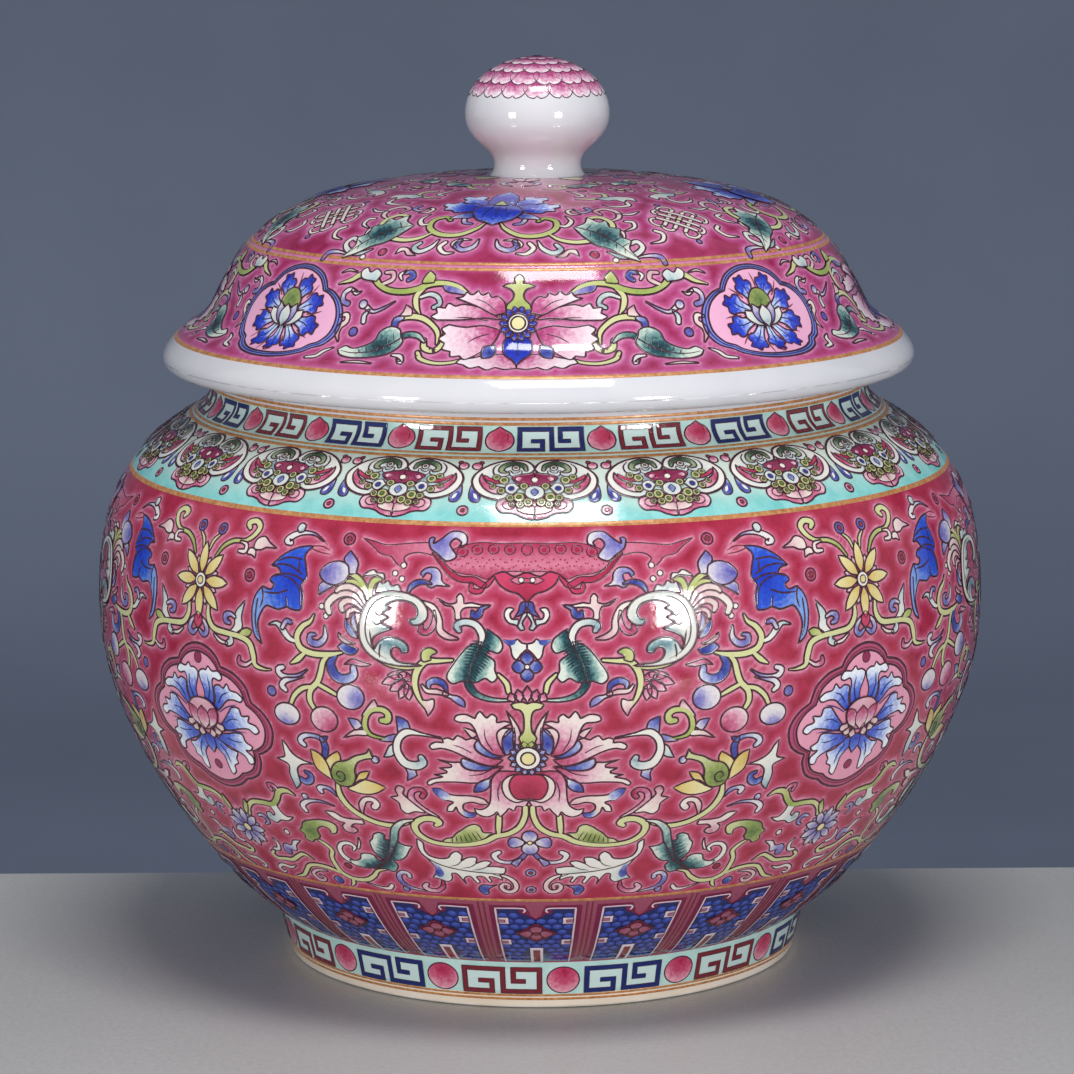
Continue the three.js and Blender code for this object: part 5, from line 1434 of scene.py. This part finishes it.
CAP = Drawing()
for count, near, far, width, level, start in ((17, 14.5, 22.8, 8.6, 0, 0), (14, 10.4, 18.6, 8.6, 1, 12),
                                              (11, 6.4, 14, 8, 2, 0), (7, 2.8, 9.6, 7.6, 3, 20),
                                              (5, 0.2, 5.4, 5.6, 4, 0)):
    for k in range(count):
        with CAP.at(0, 0, start + 360 * k / count):
            side_x, root_x = width / 2, width * 0.22
            span = far - near
            CAP.fill(f"{-root_x},{-near}! {-side_x},{-near - span * 0.55}"
                     f" {-side_x * 0.72},{-near - span * 0.9} {-side_x * 0.25},{-far} 0,{-far + 0.7}!"
                     f" {side_x * 0.25},{-far} {side_x * 0.72},{-near - span * 0.9}"
                     f" {side_x},{-near - span * 0.55} {root_x},{-near}!", "cap_petal",
                     (0, -near, span * 1.04), level, 0.3, grid=1)
CAP.spot(0, 0, 1.2, "cap_petal", 6, 0.3, 0.1)
lay(CAP, KNOB, "lid")

# Materials ----------------------------------------------------------------------------------------


class Look:
    """A material built round one glossy Principled shader."""

    def __init__(self, name, roughness=0.12, coat=0.35):
        self.material = bpy.data.materials.new(name)
        self.material.use_nodes = True
        self.tree = self.material.node_tree
        self.shader = self.tree.nodes["Principled BSDF"]
        self.shader.inputs["Roughness"].default_value = roughness
        self.shader.inputs["Coat Weight"].default_value = coat
        self.shader.inputs["Coat Roughness"].default_value = 0.04
        self.place = self.node("ShaderNodeTexCoord").outputs["Object"]

    def feed(self, socket, value):
        """Links a socket to another, or sets its value."""
        if isinstance(value, bpy.types.NodeSocket):
            self.tree.links.new(value, socket)
        else:
            socket.default_value = value

    def node(self, kind, **inputs):
        made = self.tree.nodes.new(kind)
        for name, value in inputs.items():
            self.feed(made.inputs[name.replace("_", " ")], value)
        return made

    def noise(self, cells_per_metre, detail=3.0, rough=0.55):
        made = self.node("ShaderNodeTexNoise", Vector=self.place, Scale=cells_per_metre,
                         Detail=detail, Roughness=rough)
        return made.outputs["Fac"]

    def field(self, name):
        """A value that the mesh carries at each of its points."""
        made = self.tree.nodes.new("ShaderNodeAttribute")
        made.attribute_name = name
        return made.outputs["Fac"]

    def span(self, value, low, high, start=0.0, end=1.0, soft=False):
        """A value from low to high, spread from start to end."""
        made = self.node("ShaderNodeMapRange", Value=value, From_Min=low, From_Max=high,
                         To_Min=start, To_Max=end)
        if soft:
            made.interpolation_type = "SMOOTHSTEP"
        return made.outputs["Result"]

    def total(self, a, b):
        made = self.tree.nodes.new("ShaderNodeMath")
        made.operation = "ADD"
        self.feed(made.inputs[0], a)
        self.feed(made.inputs[1], b)
        return made.outputs["Value"]

    def ramp(self, value, *stops):
        """A colour for a value; each stop is a place and a colour."""
        made = self.node("ShaderNodeValToRGB", Fac=value)
        line = made.color_ramp
        while len(line.elements) < len(stops):
            line.elements.new(1.0)
        for element, (at, shade) in zip(line.elements, stops):
            element.position = at
            element.color = tint(shade)
        return made.outputs["Color"]

    def blend(self, share, a, b):
        """Colour a turning to colour b as the share goes from 0 to 1."""
        made = self.tree.nodes.new("ShaderNodeMix")
        made.data_type = "RGBA"
        for name, value in (("Factor_Float", share), ("A_Color", a), ("B_Color", b)):
            self.feed(next(s for s in made.inputs if s.identifier == name), value)
        return next(s for s in made.outputs if s.identifier == "Result_Color")

    def finish(self, colour, gloss=None, relief=None, depth=0.02, strength=0.4):
        """Links the colour, the roughness and a bump of some hundredths of a millimetre."""
        self.tree.links.new(colour, self.shader.inputs["Base Color"])
        if gloss is not None:
            self.tree.links.new(gloss, self.shader.inputs["Roughness"])
        if relief is not None:
            bump = self.node("ShaderNodeBump", Height=relief, Strength=strength, Distance=depth * MM)
            self.tree.links.new(bump.outputs["Normal"], self.shader.inputs["Normal"])
        return self.material


def tint(code):
    """A colour written as six hex digits, as linear light."""
    shares = [int(code[k:k + 2], 16) / 255 for k in (0, 2, 4)]
    return (*[s / 12.92 if s <= 0.04045 else ((s + 0.055) / 1.055) ** 2.4 for s in shares], 1.0)


def enamel(name, *stops, mottle=0.14, roughness=0.09):
    """Painted enamel that shades along the stroke, a little uneven, as a loaded brush leaves it."""
    look = Look(name, roughness)
    uneven = look.span(look.noise(900, 3.0), 0.3, 0.7, -mottle, mottle)
    shade = look.total(look.field("shade"), uneven)
    gloss = look.span(look.noise(260, 2.0), 0.3, 0.7, roughness - 0.04, roughness + 0.06)
    return look.finish(look.ramp(shade, *stops), gloss, look.noise(1400, 2.0), 0.03)


def thin_line(name, deep, pale):
    """Brushed line colour, thinner and paler in places."""
    look = Look(name, 0.25, 0.2)
    gloss = look.span(look.noise(500, 2.0), 0.3, 0.7, 0.19, 0.35)
    tone = look.ramp(look.noise(1100, 3.0), (0.4, deep), (0.75, pale))
    return look.finish(tone, gloss, look.noise(1800, 2.0), 0.02)


def glaze(name, pale, deep):
    """Clear glaze over white porcelain: faint pooling of tone and a barely uneven skin."""
    look = Look(name, 0.07, 0.6)
    tone = look.ramp(look.noise(22, 4.0), (0.35, deep), (0.65, pale))
    specks = look.span(look.noise(1500, 1.0), 0.74, 0.8, 0.0, 0.25)
    gloss = look.span(look.noise(60, 2.0), 0.3, 0.7, 0.05, 0.11)
    return look.finish(look.blend(specks, tone, tint("C8C2BC")), gloss, look.noise(130, 2.0), 0.02, 0.25)


def biscuit(name):
    """Bare fired clay on the foot ring, seat and collar: chalky, with fine sand and faint rust."""
    look = Look(name, 0.7, 0.0)
    tone = look.ramp(look.noise(90, 5.0), (0.3, "D8CDBE"), (0.55, "E9E2D8"), (0.8, "F1ECE4"))
    grit = look.span(look.noise(2600, 2.0), 0.62, 0.72, 0.0, 0.35)
    gloss = look.span(look.noise(700, 2.0), 0.3, 0.7, 0.6, 0.85)
    return look.finish(look.blend(grit, tone, tint("A98F78")), gloss, look.noise(1900, 4.0), 0.06, 0.6)


def ruby_ground(name, deep, mid, light, halo, reach_out=1.0):
    """Ruby enamel that thins to pink beside each painted edge, with a stippled, clouded body."""
    look = Look(name, 0.09)
    wander = look.span(look.noise(420, 3.0), 0.3, 0.7, -0.2, 0.2)
    distance = look.total(look.field("halo"), wander)
    body = look.ramp(look.noise(150, 6.0, 0.7), (0.3, deep), (0.5, mid), (0.74, light))
    stipple = look.span(look.noise(1900, 2.0), 0.54, 0.72, 0.0, 0.3)
    body = look.blend(stipple, body, tint(light))
    pale = look.ramp(look.noise(600, 3.0), (0.3, halo[0]), (0.7, halo[1]))
    rim = look.blend(look.span(distance, 0.1 * reach_out, 1.1 * reach_out, soft=True), pale, tint(halo[2]))
    share = look.span(distance, 0.4 * reach_out, 2.7 * reach_out, soft=True)
    gloss = look.span(look.noise(240, 2.0), 0.3, 0.7, 0.05, 0.13)
    return look.finish(look.blend(share, rim, body), gloss, look.noise(800, 3.0), 0.05, 0.4)


def turquoise_ground(name, pale, deep, top_tone=None):
    """Turquoise enamel; top_tone is the paler colour it turns to towards its top at the neck, from 142 to
    151 mm up.
    """
    look = Look(name, 0.12)
    tone = look.ramp(look.noise(160, 5.0, 0.6), (0.32, deep), (0.6, pale))
    if top_tone:
        height = look.node("ShaderNodeSeparateXYZ", Vector=look.place).outputs["Z"]
        uneven = look.span(look.noise(90, 3.0), 0.3, 0.7, -0.0012, 0.0012)
        share = look.span(look.total(height, uneven), 142 * MM, 151 * MM, soft=True)
        tone = look.blend(share, tone, tint(top_tone))
    specks = look.span(look.noise(2400, 1.0), 0.66, 0.74, 0.0, 0.3)
    gloss = look.span(look.noise(220, 2.0), 0.3, 0.7, 0.08, 0.18)
    return look.finish(look.blend(specks, tone, tint("D7EFEA")), gloss, look.noise(700, 3.0), 0.04, 0.4)


def gilding(name):
    """Thin worn gold: a warm metallic film that lets the glaze show where it is rubbed."""
    look = Look(name, 0.3, 0.1)
    tone = look.ramp(look.noise(700, 4.0), (0.3, "A86C42"), (0.5, "C08450"), (0.72, "D6A472"))
    gloss = look.span(look.noise(900, 3.0), 0.3, 0.7, 0.22, 0.45)
    look.shader.inputs["Metallic"].default_value = 0.2
    return look.finish(tone, gloss, look.noise(1500, 3.0), 0.04, 0.5)


WHITE_GLAZE = glaze("white_glaze", "D8D6D9", "CBCBD0")
# Cream glaze of the foot's edge: the cream tint is its own, and it is made paler than the white glaze as
# painted light on the foot.
IVORY_GLAZE_PAINTED_LIGHT = glaze("ivory_glaze_painted_light", "F2E6D6", "E4D4BE")
BISCUIT = biscuit("bare_porcelain")
RUBY = ruby_ground("ruby_ground", "8A1430", "A01E3C", "B43052", ("CE7C94", "D994A8", "B84C6C"))
ROSE_RUBY = ruby_ground("rose_ruby_ground", "84163E", "98204E", "AA3668",
                        ("CC7AA2", "D690B2", "B85288"), 1.1)
TURQUOISE = turquoise_ground("turquoise_ground", "8CCFCB", "6CBDB9", "C6D5C9")
PALE_TURQUOISE = turquoise_ground("pale_turquoise_ground", "BEDCD4", "A8CFC8")
GOLD = gilding("gold_line")

# Each enamel of the drawings: the slot of its family, and its material. The first stop of a shade is
# the colour at the root of a petal or leaf, and the last is the colour at its far edge.
LOOKS = {
    "gold": ("gilding", GOLD),
    "ink": ("outline_enamel", thin_line("ink", "33131F", "5A2A3C")),
    "pine": ("green_enamel", thin_line("pine_line", "10222A", "2A444A")),
}


def palette(slot, **shades):
    """Enamels of one family, each written as the places and colours of its stops."""
    for name, text in shades.items():
        stops = [word.split(":") for word in text.split()]
        LOOKS[name] = (slot, enamel(name, *[(float(at), colour) for at, colour in stops]))


palette(
    "pink_enamel",
    peach="0:A81C44 0.45:C24E70 0.8:DA94A6 1:E6BCC2",
    lilac_pink="0:E59CC0 1:E8AECB",
    petal="0:96205C 0.3:BE5F8C 0.62:E2B8C8 1:EADFE2",
    pink="0:9C1E44 0.38:C4688A 0.72:DEB4BE 1:E6D8D0",
    rose="0:DC86A4 1:E7A0B6",
    rosy="0:E2B4BE 1:D07C98",
)
palette(
    "cobalt_enamel",
    azure="0:0C1888 0.55:1E34B4 0.85:6C86D8 1:C8D4F0",
    scale="0:5269C0 0.5:354BA8 1:1A2A84",
    cobalt="0:12209A 0.6:2236B0 1:6C82DC",
    cobalt_tip="0:E8ECF2 0.45:B8C8EE 0.72:2C48C8 1:0E1EA0",
    periwinkle="0:5A62B8 1:7A80CC",
    blue="0:262C82 0.4:4C58A4 0.75:959DCA 1:D2D3DC",
    violet="0:5650A0 0.4:8F8ABE 0.8:CFC8D2 1:E0D8D6",
    navy="0:101C50 1:22347A",
    peony="0:1A2EA6 0.45:5A74D4 0.8:C9D4F0 1:EEF0F4",
    bat="0:0C2AB0 0.55:2450C4 1:7C9EDA",
)
palette(
    "pale_enamel",
    frond="0:4F747E 0.3:8FA9AC 0.7:CDD2C8 1:DEDCD2",
    lilac="0:C8A8B8 1:EADCE4",
    white="0:7F9CA6 0.35:BFCBC9 1:E4E0D6",
    blush="0:B8748A 0.5:DDBDBC 1:E6DCD0",
)
palette(
    "green_enamel",
    moss="0:16301F 0.6:3F6044 1:8DA07A",
    teal="0:0A242C 0.3:1F4F57 0.62:7DA29C 0.9:D6DCCE",
    leaf="0:4E6B30 0.5:93A058 1:C6C894",
)
palette(
    "maroon_enamel",
    dusk="0:98465E 1:AE6A80",
    maroon="0:641A28 1:86303A",
    frame="0:6E1238 1:8E2450",
    border="0:9A3056 1:AE4A70",
)
palette("turquoise_enamel", pearl="0:B4D4D0 1:C8DED9")
palette("ruby_enamel", ruby="0:8E1233 1:C43E62")
palette(
    "yellow_enamel",
    lime="0:8FA350 0.5:B6BC74 1:CFCF98",
    yellow="0:C8A050 0.4:D9C47C 1:E2D9A4",
)
SWAG = enamel("swag", (0.0, "9E2848"), (0.3, "B44868"), (0.7, "CB7890"), (1.0, "A83454"), mottle=0.1)
CAP_PETAL = enamel("cap_petal", (0.0, "8E1C58"), (0.5, "AC447A"), (0.76, "DBA2BC"), (0.95, "EEE0E6"),
                   roughness=0.07)
LOOKS["swag"] = ("pink_enamel", SWAG)
LOOKS["cap_petal"] = ("pink_enamel", CAP_PETAL)

# Turned surfaces ----------------------------------------------------------------------------------


def along(outline, low, high):
    """The part of an outline between two heights."""
    run = outline[:, 1]
    ends = [(float(np.interp(z, run, outline[:, 0])), z) for z in (low, high)]
    middle = outline[(run > low + 1e-3) & (run < high - 1e-3)]
    return chain([ends[0]], middle, [ends[1]]) if len(middle) else chain(ends)


def rolled(start, corner, end):
    """A rounded corner in ten steps."""
    a, b, c = (np.array(p, float) for p in (start, corner, end))
    t = np.linspace(0, 1, 11)[:, None]
    return (1 - t) ** 2 * a + 2 * t * (1 - t) * b + t * t * c


THROAT_R = 87.5                 # inside of the neck
FLOOR_Z = 19.0                  # inside of the floor
RING_INNER = (66.2, 1.4)        # inner edge of the bare foot ring
RECESS = (64.0, 10.0)           # where the wall of the foot's recess rounds over into its ceiling
RECESS_Z = 12.4
BARE_TOP = 3.9                  # ivory glaze on the foot ring ends here
BRIM_SEAT_Z = 170.0             # underside of the brim
BRIM_SEAT_R = 95.5
BRIM_UNDER_R = 105.8
COLLAR_INNER_R = 80.0
EASE = 1.5                      # rounding of the collar's and the throat's edges
CEILING = (20.0, 216.4)         # inside of the dome: where its flat middle ends
GROUND_TOP = 177.4              # the lid's ruby ground starts where the white brim ends


def foot_face():
    """The bare ring that the jar stands on."""
    outer = (70.8, 0.0)
    return chain([RING_INNER], rolled(RING_INNER, (66.5, 0.0), (67.5, 0.0)), [outer],
                 rolled(outer, (72.2, 0.0), FOOT_EDGE))


def turn_jar():
    outside = jar_outside()
    inner_r = BELLY_R - WALL
    seat_in, seat_out = (THROAT_R + EASE, SEAT_Z), (NECK_R - LIP_ROUND, SEAT_Z)
    seat = chain([seat_out, seat_in])
    bare = joined("jar_bare_porcelain", [turned(foot_face(), BISCUIT), turned(seat, BISCUIT)])
    finish_piece(bare, "jar", "bare_porcelain")
    recess = chain([RING_INNER, (65.2, 3.0), RECESS],
                   rolled(RECESS, (63.8, RECESS_Z), (61.0, RECESS_Z)), [(0.0, RECESS_Z)])
    lip = chain(along(outside, 164.0, SEAT_Z - LIP_ROUND),
                rolled((NECK_R, SEAT_Z - LIP_ROUND), (NECK_R, SEAT_Z), seat_out))
    throat_end, shoulder, belly = (THROAT_R, SHOULDER_Z - 1.0), (95.5, 146.5), (inner_r, BELLY_Z)
    inside_wall = chain(
        rolled(seat_in, (THROAT_R, SEAT_Z), (THROAT_R, SEAT_Z - EASE)),
        curve(throat_end, (THROAT_R, 151.5), (90.5, 149.0), shoulder, 16),
        curve(shoulder, (111.0, 138.6), (inner_r, 127.0), belly),
        curve(belly, (inner_r, 64.0), (84.0, 24.0), (62.0, FLOOR_Z)),
        [(0.0, FLOOR_Z)],
    )
    white = joined("jar_white_glaze", [
        turned(recess[::-1], WHITE_GLAZE),
        # the foot's edge: cream glaze, made paler than the white glaze as painted light
        turned(along(outside, FOOT_EDGE[1], BARE_TOP), IVORY_GLAZE_PAINTED_LIGHT),
        turned(lip, WHITE_GLAZE),
        turned(inside_wall, WHITE_GLAZE),
    ])
    finish_piece(white, "jar", "white_glaze")


def turn_lid():
    low, inner = COLLAR_LOW, COLLAR_INNER_R
    collar = chain(
        [(inner, BRIM_SEAT_Z + EASE)],
        [(inner, low + EASE)],
        rolled((inner, low + EASE), (inner, low), (inner + EASE, low)),
        [(83.0, low)],
        rolled((83.0, low), (COLLAR_R, low), (COLLAR_R, low + EASE)),
        [(COLLAR_R, BRIM_SEAT_Z)],
    )
    bare = joined("lid_bare_porcelain", [turned(collar, BISCUIT)])
    finish_piece(bare, "lid", "bare_porcelain", "lid_collar")
    seat = (BRIM_SEAT_R, BRIM_SEAT_Z)
    brim = chain(
        [(COLLAR_R, BRIM_SEAT_Z), seat],
        curve(seat, (98.0, 167.6), (105.4, 166.6), (BRIM_UNDER_R, BRIM_WIDEST_Z)),
        along(lid_outside(), BRIM_WIDEST_Z, GROUND_TOP),
    )
    haunch, spring = (48.0, 215.4), (88.8, 183.0)
    hollow = chain(
        [(0.0, CEILING[1]), CEILING],
        curve(CEILING, (36.0, 216.4), (40.0, 216.1), haunch, 12),
        curve(haunch, (70.0, 212.0), (79.0, 204.0), spring),
        curve(spring, (81.6, 174.5), (inner, 172.0), (inner, BRIM_SEAT_Z + EASE), 16),
    )
    knob = turned(knob_outside(), WHITE_GLAZE, 128)
    white = joined("lid_white_glaze", [turned(brim, WHITE_GLAZE), turned(hollow, WHITE_GLAZE), knob])
    finish_piece(white, "lid", "white_glaze", "lid_brim", "lid_knob")


def gold_line(chart, body, y, width):
    """A gold line round the jar or lid, with a low crest."""
    crest = 0.07
    steps = [(-0.5, -0.04), (-0.42, 0.5), (-0.2, 1.0), (0.2, 1.0), (0.42, 0.5), (0.5, -0.04)]
    rows = np.array([(y + width * a, crest * b) for a, b in steps])
    line = turned(np.column_stack(chart.raised(rows[:, 0], rows[:, 1])), GOLD)
    LAID.setdefault((body, "", "gold"), []).append(line[:3])


# Staging ------------------------------------------------------------------------------------------


CAMERA_AT = (-0.78, -1165.05, 320.36)
CAMERA_DOWN, CAMERA_ROLL = 9.854, -0.34
LENS, SENSOR = 139.04, 36.0
TABLE_BACK = 0.082              # the table's far edge, metres behind the jar's axis
TABLE_DROP = 0.02
TABLE_FRONT, TABLE_HALF = -0.5, 4.0
WALL_BEND, WALL_FOOT, WALL_TOP = 0.5, -0.4, 4.0


def make_camera():
    data = bpy.data.cameras.new("camera")
    data.sensor_width = SENSOR
    data.lens = LENS
    view = bpy.data.objects.new("camera", data)
    view.rotation_mode = "XYZ"
    pitch, roll = math.radians(90 - CAMERA_DOWN), math.radians(CAMERA_ROLL)
    view.matrix_world = (
        Matrix.Translation(Vector(CAMERA_AT) * MM)
        @ Matrix.Rotation(pitch, 4, "X") @ Matrix.Rotation(roll, 4, "Z")
    )
    bpy.context.scene.collection.objects.link(view)
    bpy.context.scene.camera = view


def soft_light(name, azimuth, height, distance, size, power):
    """A rectangular lamp round the jar, aimed at its middle."""
    data = bpy.data.lights.new(name, "AREA")
    data.shape = "RECTANGLE"
    data.size, data.size_y = size
    data.energy = power
    lamp = bpy.data.objects.new(name, data)
    a = math.radians(azimuth)
    spot = Vector((math.sin(a) * distance, -math.cos(a) * distance, height))
    lamp.location = spot
    lamp.rotation_euler = (Vector((0, 0, 0.12)) - spot).to_track_quat("-Z", "Y").to_euler()
    bpy.context.scene.collection.objects.link(lamp)


def stage_sheet(name, profile, half, material):
    """A long sheet of the given profile, y and z, for the floor or the wall."""
    points = [(x, y, z) for y, z in profile for x in (-half, half)]
    faces = [(2 * k, 2 * k + 1, 2 * k + 3, 2 * k + 2) for k in range(len(profile) - 1)]
    joined(name, [(np.array(points), np.array(faces), None, material)])


def make_stage():
    table = Look("table_top", 0.45, 0.0)
    tone = table.ramp(table.noise(3, 4.0), (0.35, "CFCFCC"), (0.65, "DADAD6"))
    weave = table.span(table.noise(700, 4.0, 0.7), 0.34, 0.66)
    tone = table.blend(weave, table.blend(0.16, tone, tint("5A5A58")), tone)
    table.finish(tone, table.span(table.noise(500, 3.0), 0.3, 0.7, 0.4, 0.55), table.noise(900, 2.0), 0.02)
    wall = Look("backdrop", 0.8, 0.0)
    wall.finish(wall.ramp(wall.noise(1.5, 4.0), (0.35, "7C8698"), (0.65, "8690A2")))
    top = [(TABLE_FRONT, 0.0), (TABLE_BACK - 0.004, 0.0), (TABLE_BACK, -0.004), (TABLE_BACK, -TABLE_DROP)]
    stage_sheet("table", top, TABLE_HALF, table.material)
    bend = [(2.2 + WALL_BEND * math.sin(a), WALL_FOOT + WALL_BEND - WALL_BEND * math.cos(a))
            for a in np.linspace(0, math.pi / 2, 12)]
    stage_sheet("backdrop", [(TABLE_BACK - 0.02, WALL_FOOT), *bend, (2.7, WALL_TOP)], 5.0, wall.material)


def make_lights():
    world = bpy.data.worlds.new("studio")
    world.use_nodes = True
    sky = world.node_tree.nodes["Background"]
    sky.inputs["Color"].default_value = (0.86, 0.9, 1.0, 1.0)
    sky.inputs["Strength"].default_value = 0.4
    bpy.context.scene.world = world
    soft_light("left_softbox", -40, 0.28, 1.5, (0.26, 0.32), 7.6)
    soft_light("right_softbox", 33, 0.28, 1.5, (0.26, 0.32), 9.8)
    soft_light("top_softbox", 8, 1.5, 0.5, (0.6, 0.36), 10)
    bpy.context.scene.view_settings.view_transform = "Standard"


# Assembly -----------------------------------------------------------------------------------------

make_camera()
make_lights()
make_stage()
turn_jar()
turn_lid()

FIELD = (JAR.height(37.5), JAR.height(141.5))      # the ruby field of the body
BAND_TOP = 69.5                                    # turquoise below, pale fret band above
NECK_BAND_TOP = 83.5
PANEL_FOOT = -123.5
SIDE_TOP = 41.0                                    # the side's ruby ground meets the crown's here
CROWN = (KNOB_FOOT_R, 85.6)

field = painted_ground(JAR, *FIELD, RUBY, BODY)
finish_piece(joined("jar_ruby_ground", [field], "halo"), "jar", "ruby_enamel", "lower_body", "upper_body")
bands = [painted_ground(JAR, FIELD[1], BAND_TOP, TURQUOISE, spacing=2.0, columns=384),
         painted_ground(JAR, BAND_TOP, NECK_BAND_TOP, PALE_TURQUOISE, spacing=1.5, columns=384),
         painted_ground(JAR, JAR.height(BARE_TOP), PANEL_FOOT, PALE_TURQUOISE, spacing=1.5, columns=384)]
finish_piece(joined("jar_turquoise_ground", bands), "jar", "turquoise_enamel", "neck", "foot_ring")
panels = painted_ground(JAR, PANEL_FOOT, FIELD[0], LOOKS["dusk"][1], spacing=2.0, columns=384)
finish_piece(joined("jar_panel_ground", [panels]), "jar", "maroon_enamel")
side = painted_ground(LID, LID.height(GROUND_TOP), SIDE_TOP, ROSE_RUBY, SIDE, columns=560, framed=True)
crown = crown_ground(LID_TOP, *CROWN, ROSE_RUBY, CROWN_HALF.edges + CROWN_WHOLE.edges)
finish_piece(joined("lid_ruby_ground", [side, crown], "halo"), "lid", "ruby_enamel", "lid_dome")

JAR_GILDING = ((85.2, 1.1), (83.4, 1.2), (71.3, 1.1), (69.3, 1.5), (43.0, 1.5), (-76.2, 1.4), (-140.8, 1.2),
               (-142.7, 1.3))                      # place up the chart, and width
LID_GILDING = ((6.4, 1.1), (39.9, 1.1), (41.9, 1.1))
for chart, body, lines in ((JAR, "jar", JAR_GILDING), (LID, "lid", LID_GILDING)):
    for y, width in lines:
        gold_line(chart, body, y, width)
make_enamels(LOOKS)
